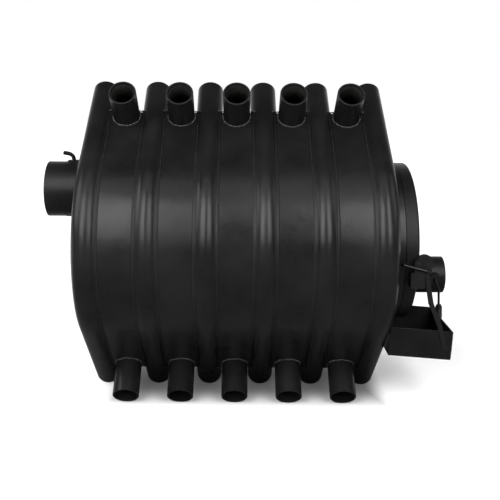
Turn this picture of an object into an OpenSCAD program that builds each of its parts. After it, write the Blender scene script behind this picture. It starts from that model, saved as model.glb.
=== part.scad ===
/* [Convection pipes] */
// Outside diameter of each bent pipe
pipe_d = 57; // [48:1:60]
// Wall of each bent pipe
pipe_wall = 3.5; // [2.5:0.5:4]
// Gap between a near pipe and the far pipe that crosses beside it
pipe_gap = 2; // [1:0.5:8]
// Number of pipes that wrap the near side; the far side has one fewer
near_count = 6; // [3:1:8]
// Radius of the pipe's centre line round the firebox
ring_r = 203; // [190:1:240]
// Straight length of the upper pipe ends
top_len = 261; // [240:1:290]
// Straight length of the lower pipe ends, which are the feet
foot_len = 277; // [250:1:300]

/* [Body panels] */
// Thickness of the sheet strips between the pipes
panel_t = 4; // [2:0.5:5]
// How far the strips lie below the crowns of the pipes
panel_recess = 8.5; // [7:0.5:14]
// Thickness of the front and rear plates
plate_t = 4; // [3:0.5:6]
// Distance of each plate's outer face past the last near pipe's centre line
plate_out = 9; // [6:0.5:12]
// Gap left for the weld between pieces of the body
weld_gap = 0.3; // [0.2:0.05:0.5]

/* [Baffle and injectors] */
// Height of the baffle's lower face above the middle of the ring
baffle_z = 38; // [30:1:42]
// Thickness of the baffle plate
baffle_t = 4; // [3:0.5:6]
// Length of the baffle from the rear plate
baffle_len = 440; // [380:5:480]
// Diameter of the gas holes in the baffle
baffle_hole_d = 16; // [10:1:24]
// Number of gas holes along the baffle
baffle_hole_n = 7; // [3:1:9]
// Number of rows of gas holes across the baffle
baffle_row_n = 3; // [2:1:4]
// Outside diameter of the two injector tubes
injector_d = 17; // [12:1:20]
// Wall of the injector tubes
injector_wall = 2; // [1.5:0.5:3]
// Length of the injector tubes
injector_len = 50; // [30:1:80]
// Height of the injectors above the middle of the ring
injector_z = 0; // [-20:1:15]

/* [Flue] */
// Outside diameter of the flue collar's sized end
flue_d = 120; // [110:1:125]
// Wall of the flue collar
flue_wall = 3; // [2:0.5:4]
// Length of the flue collar behind the rear plate
flue_len = 105; // [90:1:130]
// Distance of the collar's top from the inner side of the bent pipes
flue_inset = 6.5; // [5:0.5:12]
// Length of the collar's sized end, which the stove pipe is pushed over
spigot_len = 40; // [30:1:42]
// Height of the shoulder at which the stove pipe stops
spigot_step = 1; // [0.8:0.1:1.5]
// Distance of the open damper disc from the collar's end
damper_lip = 1.5; // [1:0.5:10]
// Gap between the damper disc's edge and the collar's wall
damper_play = 4.5; // [3:0.5:8]
// Thickness of the damper disc
damper_t = 2.5; // [2:0.5:4]
// Diameter of the damper's shaft and handle rod
damper_rod_d = 6; // [5:0.5:7]
// Outside diameter of the boss under the damper's handle
damper_boss_d = 23; // [18:1:28]
// Height of the damper's handle bend above the collar
damper_neck = 4.5; // [4:0.5:10]
// Bend radius of the damper's handle
damper_bend_r = 12; // [9:1:16]
// Length of the straight end of the damper's handle
damper_grip = 13; // [8:1:40]

/* [Door frame] */
// Distance of the neck that the door closes from the inner side of the bent pipes
neck_inset = 4; // [3:0.5:12]
// Wall of the neck
neck_wall = 4; // [3:0.5:5]
// Length of the neck in front of the front plate
neck_len = 38; // [34:1:44]
// Width of the flange inside the neck
flange_w = 16; // [12:1:20]
// Thickness of the flange inside the neck
flange_t = 4; // [3:0.5:6]
// Thickness of the sealing ring that presses into the rope
knife_t = 4; // [3:0.5:5]
// How far the sealing ring stands out past the neck
knife_out = 4; // [3:0.5:5]

/* [Door] */
// How much smaller the door is than the neck, on the radius
door_inset = 1.5; // [1:0.5:4]
// Depth of the door's turned rim
door_depth = 26.5; // [22:0.5:32]
// Thickness of the door's sheet
door_t = 3; // [2:0.5:4]
// Outer radius of the pressed edge between the door's rim and its face
door_edge_r = 5; // [4:0.5:8]
// How far the middle of the door's face is dished outwards
door_dish = 5; // [2:0.5:8]
// Gap between the neck and the door's rim
door_gap = 1.5; // [1:0.1:3]
// Width of the channel that holds the rope
channel_w = 14; // [12:0.5:16]
// Height of the rope in the channel
rope_h = 9; // [6:0.5:11]
// Distance of the heat shield's edge from the flange's opening
shield_play = 12.5; // [8:0.5:30]
// Thickness of the heat shield
shield_t = 3; // [2:0.5:4]
// Distance of the heat shield from the rim's rear edge
shield_in = 4; // [3:0.5:8]
// Distance of the four spacers from the heat shield's edge
spacer_in = 20; // [14:1:40]
// Outside diameter of each spacer
spacer_d = 16; // [14:1:20]
// Thread diameter of the studs that hold the heat shield
stud_d = 8; // [6:1:10]

/* [Door hinge] */
// Distance of the hinge pin from the neck's far side
hinge_out = 21.5; // [18:0.5:27]
// Distance of the hinge pin in front of the neck's front edge
hinge_ahead = 20; // [18:1:24]
// Diameter of the hinge pin
hinge_pin_d = 10; // [8:1:12]
// Outside diameter of the hinge's knuckles
knuckle_d = 19; // [17:1:24]
// Height of the door's knuckle
knuckle_h = 64; // [50:1:80]
// Thickness of the two ears on the neck
ear_t = 8; // [6:1:12]
// Height of the strap on the door
strap_h = 46; // [36:1:56]
// Reach of the strap across the door's face
strap_len = 92; // [70:1:110]
// Thickness of the strap
strap_t = 5; // [4:0.5:7]

/* [Air inlet and throttle] */
// Outside diameter of the air inlet tube
inlet_d = 80; // [70:1:84]
// Wall of the air inlet tube
inlet_wall = 3; // [2:0.5:4]
// Reach of the tube in front of the door's rim
inlet_out = 88; // [78:1:96]
// Height of the tube's centre above the door's lowest point
inlet_rise = 90; // [85:1:97]
// Distance of the throttle's shaft from the open end of the tube
throttle_in = 26; // [24:1:34]
// Gap between the throttle disc's edge and the tube's wall
throttle_play = 4; // [3:0.5:8]
// Thickness of the throttle disc
throttle_t = 2.5; // [2:0.5:4]
// Diameter of the throttle's shaft and handle rod
throttle_rod_d = 5; // [4:0.5:6]
// Diameter of the boss on the near side of the tube
throttle_boss_d = 25; // [20:1:30]
// Drop of the first slanted part of the handle
handle_slant = 20; // [14:1:26]
// Sideways shift of the handle over that slanted part
handle_shift = 8; // [4:1:12]
// Drop of the straight lower part of the handle
handle_drop = 67; // [50:1:74]
// Length of the coiled wire grip
grip_len = 36; // [24:1:44]
// Outside diameter of the coiled wire grip
grip_d = 15; // [12:1:18]
// Diameter of the wire of the grip
grip_wire_d = 2.3; // [2:0.1:2.3]
// Number of turns in the grip
grip_turns = 12; // [8:1:14]

/* [Door latch] */
// Height of the latch's pivot above the middle of the door; minus is below
latch_z = -13; // [-20:1:-8]
// Distance of the latch's pivot in front of the neck's front edge
latch_ahead = 23; // [20:1:28]
// Diameter of the round cam on the lever
cam_d = 35; // [32:1:38]
// Offset of the cam's centre from its pivot
cam_offset = 12.5; // [10:0.5:14]
// Thickness of the lever and its cam
lever_t = 8; // [6:0.5:9]
// Width of the lever's arm
lever_w = 9; // [8:0.5:12]
// Diameter of the latch's pivot pin
latch_pin_d = 8; // [6:0.5:9]
// Thickness of the bracket's plates
bracket_t = 4; // [3:0.5:5]
// Diameter of the link rod
link_d = 6; // [5:0.5:7]
// Running clearance between a shaft and its hole, on the radius
run_gap = 0.06; // [0.03:0.01:0.1]
// Side clearance between pieces that move past each other
side_gap = 0.4; // [0.3:0.05:0.6]

/* [Ash tray] */
// Length of the tray from its rear wall to its front wall
tray_len = 133; // [110:1:150]
// Width of the tray across the stove
tray_w = 190; // [170:1:200]
// Height of the tray's side walls
tray_h = 61; // [50:1:66]
// Sheet thickness of the tray
tray_t = 2; // [1.5:0.5:3]
// Droop of the hung tray towards its front, in degrees
tray_tilt = 4.2; // [0:0.1:5]
// Depth of the tray's hooking line below the neck
hook_drop = 9.5; // [9:0.5:12]
// Distance of each hook from the stove's middle
hook_y = 62; // [60:1:70]
// Width of each hook
hook_w = 14; // [10:1:16]
// How far each hook reaches down behind the cleat
hook_grip = 8; // [6:0.5:10]
// Thickness of the cleat that the tray hangs on
cleat_t = 3; // [2:0.5:4]

/* [Hidden] */

$fn = 96;

// Paint and metal colours of the preview
paint = [0.16, 0.16, 0.165];
inner_paint = [0.12, 0.12, 0.12];
bare_steel = [0.45, 0.45, 0.46];
rope_colour = [0.75, 0.73, 0.68];

// Overrun of every cut past the face that it goes through
over = 2;

// Rise of the pipe ends as a share of their length: the upper ends, then the lower ends
// Both slopes are whole-number triangles, so that bends and straight ends meet without a step
top_rise_share = 3 / 5;
foot_rise_share = 10296 / 15625;
top_angle = asin(top_rise_share);
foot_angle = asin(foot_rise_share);
// A bent pipe turns round the ring's middle between these two angles, measured from the far side
top_turn = 90 + top_angle;
foot_turn = 270 - foot_angle;

// Sizes that follow from the driving ones
pipe_r = pipe_d / 2;
bore_r = pipe_r - pipe_wall;
pipe_pitch = 2 * (pipe_d + pipe_gap);
first_x = -pipe_pitch * (near_count - 1) / 2;
last_x = -first_x;
panel_out_r = ring_r + pipe_r - panel_recess;
panel_in_r = panel_out_r - panel_t;
// Half the chord of a pipe at the strip's inner face, where the strip's edge meets it
panel_seat = sqrt(pipe_r * pipe_r - pow(panel_in_r - ring_r, 2));
panel_half_w = pipe_pitch / 2 - panel_seat - weld_gap;
// The feet stand on the lower rim of their square mouths
foot_end_z = -ring_r * cos(foot_angle) - foot_len * sin(foot_angle);
floor_z = foot_end_z - pipe_r * cos(foot_angle);

plate_x = last_x + plate_out;
injector_x = plate_x - plate_t - injector_d / 2 - weld_gap;
flue_end_x = -plate_x - flue_len;
flue_r = flue_d / 2;
collar_r = flue_r + spigot_step;
flue_z = ring_r - pipe_r - flue_inset - collar_r;
damper_r = flue_r - flue_wall - damper_play;
damper_x = flue_end_x + damper_r + damper_lip;
damper_rod_r = damper_rod_d / 2;
// Thickness of a rod or bar at its knees as a share of its own
knee_share = 1.06;

neck_x = plate_x + neck_len;
neck_r = ring_r - pipe_r - neck_inset;
flange_r = neck_r - neck_wall - flange_w;
rim_x = neck_x + door_gap;
face_x = rim_x + door_depth;
door_r = neck_r - door_inset;
channel_in_r = door_r - door_t - channel_w;
knife_r = channel_in_r + channel_w / 2 + knife_t / 2;
knife_x = neck_x + knife_out;
shield_x = rim_x + shield_in;
shield_r = flange_r - shield_play;
spacer_at = shield_r - spacer_in;
rope_x = knife_x + weld_gap;
stud_r = stud_d / 2;
nut_w = stud_d * 1.6;
nut_h = stud_d * 0.8;

hinge_x = neck_x + hinge_ahead;
hinge_y = neck_r + hinge_out;
hinge_pin_r = hinge_pin_d / 2;
knuckle_r = knuckle_d / 2;
pin_head_h = ear_t / 2;

inlet_r = inlet_d / 2;
inlet_x = face_x + inlet_out;
inlet_z = inlet_rise - door_r;
inlet_root_x = face_x - door_t;
throttle_x = inlet_x - throttle_in;
throttle_rod_r = throttle_rod_d / 2;
boss_out = throttle_boss_d / 4;
handle_y = -inlet_r - boss_out - throttle_rod_d - throttle_rod_r * knee_share - weld_gap;
spring_turns = 4;
spring_wire_d = 1.6;
spring_gap = 0.7;
spring_len = spring_turns * (spring_wire_d + spring_gap) + spring_wire_d;
washer_t = 1.5;
washer_r = 6;

latch_x = neck_x + latch_ahead;
bracket_foot_y = -door_r - weld_gap;
cam_y = bracket_foot_y - bracket_t - side_gap;
ear_y = cam_y - lever_t - side_gap;
link_y = ear_y - bracket_t - side_gap - link_d / 2 - side_gap;
keeper_back = 10.5;
keeper_low = 1.5;
// The link's eye on the cam and its other end at the keeper, as offsets from the pivot
eye_at = [cam_d * 0.54, -cam_d * 0.43];
keeper_at = [-latch_ahead - keeper_back, -keeper_low];
// The lever's arm bends outwards past the throttle on its way down
arm_shares = [[0.29, -0.13], [0.47, -0.48], [0.79, -0.75], [0.94, -0.98], [1, -1.01]];
arm_reach = 60;
arm_drop = 172;
ear_r = 8.6;
bracket_w = 27.5;
bracket_back = 15;
bracket_low = 51;
bracket_high = 19;
// The foot starts this far out on the door's radius, before the rim is cut away
bracket_seat_share = 0.88;
keeper_w = 12;

cleat_play = 1;
cleat_x = last_x + pipe_r + cleat_play + cleat_t;
cleat_z = -neck_r - hook_drop;
cleat_h = 16;
cleat_w = 2 * hook_y + hook_w;
stub_w = 10;
stub_y = 38;
tray_back = 3.5;
tray_rise = 8;
hook_t = 3;
hook_play = 1.2;
rear_cut = 8;

// The model's origin is on the floor under the middle of its length
front_x = cleat_x - cleat_t / 2 + (cleat_t / 2 + tray_back + tray_len) * cos(tray_tilt)
    + tray_rise * sin(tray_tilt);
mid_x = (front_x + flue_end_x) / 2;

// Sets a piece that is drawn round the ring's middle on the floor
module on_floor() {
    translate([-mid_x, 0, -floor_z]) children();
}

// Turns a shape that is drawn round Z so that it lies round X, its angle running from +Y to +Z
module round_x() {
    rotate([90, 0, 90]) children();
}

// A straight cylinder along +X
module rod_x(r, h) {
    rotate([0, 90, 0]) cylinder(r = r, h = h);
}

// A straight cylinder along +Y
module rod_y(r, h) {
    rotate([-90, 0, 0]) cylinder(r = r, h = h);
}

// A quarter or smaller bend of a rod in the XY plane, from the angle a to a + sweep round its middle
module rod_bend(r, bend, a, sweep) {
    rotate(a) rotate_extrude(angle = sweep) translate([bend, 0]) circle(r = r);
}

// A flat bar with round corners through the points of a list, as an outline
module bar_outline(points, w) {
    for (i = [0 : len(points) - 2]) {
        step = points[i + 1] - points[i];
        translate(points[i]) rotate(atan2(step[1], step[0])) translate([0, -w / 2]) square([norm(step), w]);
        translate(points[i + 1]) circle(d = w * knee_share);
    }
}

// Extrudes an outline that is drawn in X and Z towards -Y from the plane y
module plate_xz(y, t) {
    translate([0, y, 0]) rotate([90, 0, 0]) linear_extrude(t) children();
}

// The space between the two turns where a bend ends, out to a reach from the middle
module bend_space(reach) {
    intersection() {
        rotate(top_turn) translate([-reach, 0, -reach]) cube([2 * reach, reach, 2 * reach]);
        rotate(foot_turn) translate([-reach, -reach, -reach]) cube([2 * reach, reach, 2 * reach]);
    }
}

// A solid bar along the centre line of a bent pipe; past is how far it overruns the mouths
module pipe_core(r, past) {
    round_x() {
        intersection() {
            rotate_extrude() translate([ring_r, 0]) circle(r = r);
            bend_space(2 * ring_r);
        }
        rotate(top_turn) translate([ring_r, 0, 0]) rotate([90, 0, 0]) cylinder(r = r, h = top_len + past);
        rotate(foot_turn) translate([ring_r, 0, 0]) rotate([-90, 0, 0]) cylinder(r = r, h = foot_len + past);
    }
}

// A bent pipe that wraps the near side and opens at both ends on the far side
module bent_pipe() {
    difference() {
        pipe_core(pipe_r, 0);
        pipe_core(bore_r, over);
    }
}

module near_pipe(i) {
    color(paint) on_floor() translate([first_x + (i - 1) * pipe_pitch, 0, 0])
        difference() {
            bent_pipe();
            if (i == near_count) injector_feed(injector_x - last_x);
        }
}

module far_pipe(i) {
    color(paint) on_floor() translate([first_x + (i - 0.5) * pipe_pitch, 0, 0])
        mirror([0, 1, 0]) difference() {
            bent_pipe();
            if (i == near_count - 1) injector_feed(0);
        }
}

// The hole in a pipe's inner wall that feeds an injector tube
module injector_feed(x) {
    translate([x, -ring_r, injector_z]) rod_y(injector_d / 2 - injector_wall, pipe_r + over);
}

// A sheet strip that follows the pipes of the near side, from x0 to x1 beside its middle
module strip(x0, x1) {
    top_run = panel_in_r * tan(top_angle) - panel_t / 2;
    foot_run = panel_in_r * tan(foot_angle) - panel_t / 2;
    difference() {
        round_x() {
            intersection() {
                rotate_extrude() translate([panel_in_r, x0]) square([panel_t, x1 - x0]);
                bend_space(2 * ring_r);
            }
            rotate(top_turn) translate([panel_in_r, -top_run, x0]) cube([panel_t, top_run, x1 - x0]);
            rotate(foot_turn) translate([panel_in_r, 0, x0]) cube([panel_t, foot_run, x1 - x0]);
        }
        mirror([0, 1, 0]) pipe_core(pipe_r + weld_gap, 0);
    }
}

module near_panel(i) {
    color(paint) on_floor() translate([first_x + (i - 0.5) * pipe_pitch, 0, 0])
        strip(-panel_half_w, panel_half_w);
}

module far_panel(i) {
    x0 = i == 1 ? -plate_out : -panel_half_w;
    x1 = i == near_count ? plate_out : panel_half_w;
    color(paint) on_floor() translate([first_x + (i - 1) * pipe_pitch, 0, 0])
        mirror([0, 1, 0]) strip(x0, x1);
}

// The same space as an outline
module bend_outline(reach) {
    intersection() {
        rotate(top_turn) translate([-reach, 0]) square([2 * reach, reach]);
        rotate(foot_turn) translate([-reach, -reach]) square([2 * reach, reach]);
    }
}

// Side view of a pipe's core, used to trim the end plates
module core_outline(r) {
    intersection() {
        difference() {
            circle(r = ring_r + r);
            circle(r = ring_r - r);
        }
        bend_outline(2 * ring_r);
    }
    rotate(top_turn) translate([ring_r - r, -top_len]) square([2 * r, top_len]);
    rotate(foot_turn) translate([ring_r - r, 0]) square([2 * r, foot_len]);
}

// The closed leaf shape inside a strip of inner radius r: round at the sides, pointed above and below
module leaf_outline(r) {
    for (side = [0, 1])
        mirror([side, 0]) intersection() {
            circle(r = r);
            bend_outline(2 * r);
        }
    intersection() {
        rotate(top_turn) translate([0, -r]) square([r, r]);
        mirror([1, 0]) rotate(top_turn) translate([0, -r]) square([r, r]);
    }
    intersection() {
        rotate(foot_turn) square([r, r]);
        mirror([1, 0]) rotate(foot_turn) square([r, r]);
    }
}

// An end plate, inside the last near pipe and the last far strip
module end_plate() {
    round_x() linear_extrude(plate_t) difference() {
        leaf_outline(panel_in_r - weld_gap);
        core_outline(pipe_r + weld_gap);
    }
}

module front_plate() {
    color(paint) on_floor() difference() {
        translate([plate_x - plate_t, 0, 0]) end_plate();
        translate([plate_x - plate_t - over, 0, 0]) rod_x(flange_r, plate_t + 2 * over);
    }
}

module rear_plate() {
    color(paint) on_floor() difference() {
        translate([-plate_x, 0, 0]) end_plate();
        translate([-plate_x - over, 0, flue_z]) rod_x(flue_r - flue_wall, plate_t + 2 * over);
    }
}

module baffle() {
    half = sqrt(pow(ring_r - pipe_r, 2) - pow(baffle_z + baffle_t, 2)) - weld_gap;
    first_hole = baffle_len / (baffle_hole_n + 1);
    row_step = half / baffle_row_n;
    color(inner_paint) on_floor() translate([-plate_x + plate_t + weld_gap, 0, baffle_z]) difference() {
        translate([0, -half, 0]) cube([baffle_len, 2 * half, baffle_t]);
        for (i = [1 : baffle_hole_n], j = [0 : baffle_row_n - 1])
            translate([i * first_hole, (j - (baffle_row_n - 1) / 2) * row_step, -over])
                cylinder(d = baffle_hole_d, h = baffle_t + 2 * over);
    }
}

// One injector tube on the near side, saddle-cut to the inner wall of the pipe at pipe_x
module injector(x, pipe_x) {
    start = -ring_r + pipe_r * 0.85;
    difference() {
        translate([x, start, injector_z]) rod_y(injector_d / 2, injector_len);
        translate([x, start - over, injector_z]) rod_y(injector_d / 2 - injector_wall, injector_len + 2 * over);
        translate([pipe_x, 0, 0]) pipe_core(pipe_r + weld_gap, 0);
    }
}

module injector_tubes() {
    far_x = last_x - pipe_pitch / 2;
    color(inner_paint) on_floor() {
        injector(injector_x, last_x);
        mirror([0, 1, 0]) injector(far_x, far_x);
    }
}

// The collar's outer end is sized for the stove pipe, which stops at a low shoulder
module flue_collar() {
    color(paint) on_floor() difference() {
        union() {
            translate([flue_end_x, 0, flue_z]) rod_x(flue_r, flue_len - weld_gap);
            translate([flue_end_x + spigot_len, 0, flue_z]) rod_x(collar_r, flue_len - spigot_len - weld_gap);
        }
        translate([flue_end_x - over, 0, flue_z]) rod_x(flue_r - flue_wall, flue_len + 2 * over);
        translate([damper_x, 0, flue_z - collar_r - over])
            cylinder(r = damper_rod_r + run_gap, h = 2 * collar_r + 2 * over);
    }
}

module damper_boss() {
    color(paint) on_floor() difference() {
        translate([damper_x, 0, flue_z + collar_r - flue_wall])
            cylinder(d = damper_boss_d, h = flue_wall + boss_rise());
        translate([flue_end_x, 0, flue_z]) rod_x(collar_r + weld_gap, flue_len);
        translate([damper_x, 0, flue_z]) cylinder(r = damper_rod_r + run_gap, h = flue_d);
    }
}

// Height of the damper's boss above the collar
function boss_rise() = damper_boss_d / 9;

module damper_disc() {
    color(inner_paint) on_floor() difference() {
        plate_xz(damper_rod_r + damper_t, damper_t) translate([damper_x, flue_z]) circle(r = damper_r);
        damper_rivet_bores();
    }
}

// Two rivets hold the disc to the flattened side of its shaft
module damper_rivet_bores() {
    for (s = [-1, 1])
        translate([damper_x, -damper_rod_d, flue_z + s * damper_r / 2]) rod_y(damper_rod_r / 2, damper_rod_d * 3);
}

module damper_rivets() {
    color(bare_steel) on_floor() for (s = [-1, 1])
        translate([damper_x, 0, flue_z + s * damper_r / 2]) {
            translate([0, -damper_rod_r, 0]) rod_y(damper_rod_r / 2 - run_gap, damper_rod_d + damper_t);
            translate([0, damper_rod_r + damper_t, 0]) rod_y(damper_rod_r, damper_t / 2);
        }
}

// The damper's rod stands upright through the collar and bends over to its handle
module damper_shaft() {
    low = flue_z - collar_r - damper_rod_d * 0.8;
    knee = flue_z + collar_r + damper_neck;
    bend = 80;
    color(paint) on_floor() difference() {
        translate([damper_x, 0, 0]) {
            translate([0, 0, low]) cylinder(r = damper_rod_r, h = knee - low);
            translate([-damper_bend_r, 0, knee]) rotate([90, 0, 0]) {
                rod_bend(damper_rod_r, damper_bend_r, 0, bend);
                rotate(bend) translate([damper_bend_r, 0, 0]) rotate([-90, 0, 0]) {
                    cylinder(r = damper_rod_r, h = damper_grip);
                    sphere(r = damper_rod_r * knee_share);
                }
            }
        }
        damper_rivet_bores();
    }
}

// The neck, its inner flange and the sealing ring are turned as one outline
module door_neck() {
    flange_x = neck_x - flange_t;
    color(paint) on_floor() difference() {
        translate([plate_x + weld_gap, 0, 0]) rod_x(neck_r, neck_len - weld_gap);
        translate([plate_x - over, 0, 0]) rod_x(neck_r - neck_wall, neck_len - flange_t + over);
        translate([flange_x - over, 0, 0]) rod_x(flange_r, flange_t + 2 * over);
    }
    color(paint) on_floor() difference() {
        translate([flange_x + flange_t / 2, 0, 0]) rod_x(knife_r, knife_x - flange_x - flange_t / 2);
        translate([flange_x, 0, 0]) rod_x(knife_r - knife_t, knife_x - flange_x + over);
    }
}

module latch_keeper() {
    floor_top = latch_z + keeper_at[1] - link_d / 2 - side_gap;
    back = latch_x + keeper_at[0] - link_d / 2 - side_gap;
    root = neck_r - neck_wall;
    reach = -link_y - link_d / 2 - side_gap;
    color(paint) on_floor() difference() {
        plate_xz(-root, reach - root) {
            translate([back - bracket_t, floor_top - bracket_t]) square([keeper_w + bracket_t, bracket_t]);
            translate([back - bracket_t, floor_top - bracket_t]) square([bracket_t, keeper_w + bracket_t]);
        }
        translate([plate_x, 0, 0]) rod_x(neck_r + weld_gap, neck_len + over);
    }
}

// An ear of the hinge, from the neck's flank out to the round eye at the pin
module hinge_ear(z) {
    root = plate_x + neck_len * 0.35;
    seat_y = neck_r * 0.92;
    translate([0, 0, z]) linear_extrude(ear_t) {
        translate([hinge_x, hinge_y]) circle(r = knuckle_r);
        polygon([
            [root, seat_y], [neck_x - weld_gap, seat_y], [neck_x - weld_gap, neck_r + over],
            [hinge_x, hinge_y - knuckle_r], [hinge_x, hinge_y + knuckle_r], [root, neck_r + 3 * over],
        ]);
    }
}

module hinge_bracket() {
    gap = side_gap;
    color(paint) on_floor() difference() {
        union() {
            hinge_ear(knuckle_h / 2 + gap);
            hinge_ear(-knuckle_h / 2 - gap - ear_t);
        }
        translate([plate_x, 0, 0]) rod_x(neck_r + weld_gap, neck_len + over);
        translate([hinge_x, hinge_y, -knuckle_h]) cylinder(r = hinge_pin_r + run_gap, h = 2 * knuckle_h);
    }
}

module hinge_pin() {
    top = knuckle_h / 2 + side_gap + ear_t;
    color(bare_steel) on_floor() translate([hinge_x, hinge_y, 0]) {
        translate([0, 0, -top - pin_head_h]) cylinder(r = hinge_pin_r, h = 2 * top + pin_head_h + side_gap);
        translate([0, 0, top + side_gap]) cylinder(r = knuckle_r * 0.8, h = pin_head_h);
    }
}

module tray_cleat() {
    color(paint) on_floor() {
        translate([cleat_x - cleat_t, -cleat_w / 2, cleat_z - cleat_h]) cube([cleat_t, cleat_w, cleat_h]);
        for (s = [-1, 1])
            translate([plate_x + weld_gap, s * stub_y - stub_w / 2, cleat_z - stub_w])
                cube([cleat_x - cleat_t - plate_x, stub_w, stub_w]);
    }
}

// How far the face stands in front of its edge at a distance r from the door's middle
function dish_at(r) = door_dish * (1 - pow(r / door_r, 2));

// The dished face and the rim are one pressing, turned from one outline
module door_shell() {
    flat_r = door_r - door_edge_r;
    steps = 8;
    outer = [for (i = [0 : steps]) [flat_r * i / steps, face_x + dish_at(flat_r * i / steps)]];
    corner = [for (a = [72 : -18 : 0])
        [flat_r + door_edge_r * cos(a), face_x - door_edge_r + door_edge_r * sin(a)]];
    inner = [for (i = [steps : -1 : 0])
        [(flat_r - door_t / 2) * i / steps, face_x - door_t + dish_at(flat_r * i / steps)]];
    rim = [[door_r, rim_x], [door_r - door_t, rim_x], [door_r - door_t, face_x - door_edge_r]];
    outline = concat(outer, corner, rim, inner);
    color(paint) on_floor() difference() {
        round_x() rotate_extrude() polygon(outline);
        translate([inlet_root_x - over, 0, inlet_z]) rod_x(inlet_r + weld_gap, door_dish + door_t + 3 * over);
    }
}

module seal_channel() {
    color(paint) on_floor() difference() {
        translate([rim_x, 0, 0]) rod_x(channel_in_r, door_depth - door_t - weld_gap);
        translate([rim_x - over, 0, 0]) rod_x(channel_in_r - door_t, door_depth + over);
    }
}

module seal_rope() {
    wide = channel_w - 2 * weld_gap;
    soft = rope_h / 3;
    color(rope_colour) on_floor() translate([rope_x, 0, 0]) round_x() rotate_extrude()
        translate([channel_in_r + weld_gap, 0]) {
            translate([soft, 0]) square([wide - 2 * soft, rope_h]);
            translate([0, soft]) square([wide, rope_h - 2 * soft]);
            for (i = [soft, wide - soft], j = [soft, rope_h - soft])
                translate([i, j]) circle(r = soft);
        }
}

// The places of the four spacers behind the heat shield
module at_spacers() {
    for (a = [45, 135, 225, 315])
        rotate([a, 0, 0]) translate([0, spacer_at, 0]) children();
}

module heat_shield() {
    color(inner_paint) on_floor() translate([shield_x, 0, 0]) difference() {
        rod_x(shield_r, shield_t);
        at_spacers() translate([-over, 0, 0]) rod_x(stud_r + weld_gap, shield_t + 2 * over);
    }
}

module shield_spacers() {
    start = shield_x + shield_t;
    seat = face_x - door_t + dish_at(spacer_at + spacer_d / 2) - weld_gap;
    color(inner_paint) on_floor() translate([start, 0, 0]) at_spacers() difference() {
        rod_x(spacer_d / 2, seat - start);
        translate([-over, 0, 0]) rod_x(stud_r + weld_gap, door_depth);
    }
}

module shield_studs() {
    seat = face_x - door_t + dish_at(spacer_at + stud_r) - weld_gap;
    color(bare_steel) on_floor() translate([shield_x, 0, 0]) at_spacers() {
        translate([-nut_h - weld_gap, 0, 0]) rod_x(stud_r, seat - shield_x + nut_h + weld_gap);
        translate([-nut_h, 0, 0]) rotate([0, 90, 0]) difference() {
            cylinder(d = nut_w * 2 / sqrt(3), h = nut_h, $fn = 6);
            translate([0, 0, -over]) cylinder(r = stud_r - run_gap, h = nut_h + 2 * over);
        }
    }
}

module hinge_strap() {
    pad_x = face_x + dish_at(hinge_y - strap_len) + weld_gap;
    color(paint) on_floor() difference() {
        union() {
            translate([hinge_x, hinge_y, -knuckle_h / 2]) cylinder(r = knuckle_r, h = knuckle_h);
            translate([pad_x, hinge_y - strap_len, -strap_h / 2]) cube([strap_t, strap_len, strap_h]);
            translate([hinge_x, hinge_y, -strap_h / 2]) cube([pad_x + strap_t - hinge_x, knuckle_r, strap_h]);
            translate([hinge_x, hinge_y - strap_t, -strap_h / 2]) cube([pad_x + strap_t - hinge_x, strap_t, strap_h]);
        }
        translate([hinge_x, hinge_y, -knuckle_h]) cylinder(r = hinge_pin_r + run_gap, h = 2 * knuckle_h);
    }
}

module inlet_tube() {
    color(paint) on_floor() difference() {
        union() {
            translate([inlet_root_x, 0, inlet_z]) rod_x(inlet_r, inlet_x - inlet_root_x);
            translate([throttle_x, -inlet_r - boss_out, inlet_z]) rod_y(throttle_boss_d / 2, inlet_r);
        }
        translate([inlet_root_x - over, 0, inlet_z]) rod_x(inlet_r - inlet_wall, inlet_x - inlet_root_x + 2 * over);
        translate([throttle_x, -inlet_d, inlet_z]) rod_y(throttle_rod_r + run_gap, 2 * inlet_d);
    }
}

// The latch's bracket is a folded channel with two ears, on a foot that is cut to the door's rim
module latch_bracket() {
    back = latch_x - bracket_back;
    foot_y = door_r * bracket_seat_share;
    color(paint) on_floor() difference() {
        for (y = [ear_y, bracket_foot_y])
            plate_xz(y, bracket_t) translate([latch_x, latch_z]) {
                circle(r = ear_r);
                translate([-ear_r, -bracket_high]) square([2 * ear_r, bracket_high]);
                translate([-bracket_back, -bracket_low]) square([bracket_w, bracket_low - bracket_high]);
            }
        translate([latch_x, 2 * ear_y, latch_z]) rod_y(latch_pin_d / 2 + run_gap, -2 * ear_y);
    }
    color(paint) on_floor()
        translate([back, ear_y - bracket_t, latch_z - bracket_low])
            cube([bracket_t, bracket_foot_y - ear_y + bracket_t, bracket_low - bracket_high]);
    color(paint) on_floor() difference() {
        translate([back, bracket_foot_y - bracket_t, latch_z - bracket_low])
            cube([face_x - door_edge_r - back, bracket_t - bracket_foot_y - foot_y, bracket_low - bracket_high]);
        translate([back - over, 0, 0]) rod_x(door_r + weld_gap, door_depth);
    }
}

module latch_pin() {
    color(bare_steel) on_floor() translate([latch_x, ear_y - bracket_t, latch_z])
        rod_y(latch_pin_d / 2, bracket_foot_y - ear_y + bracket_t - weld_gap);
}

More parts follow.
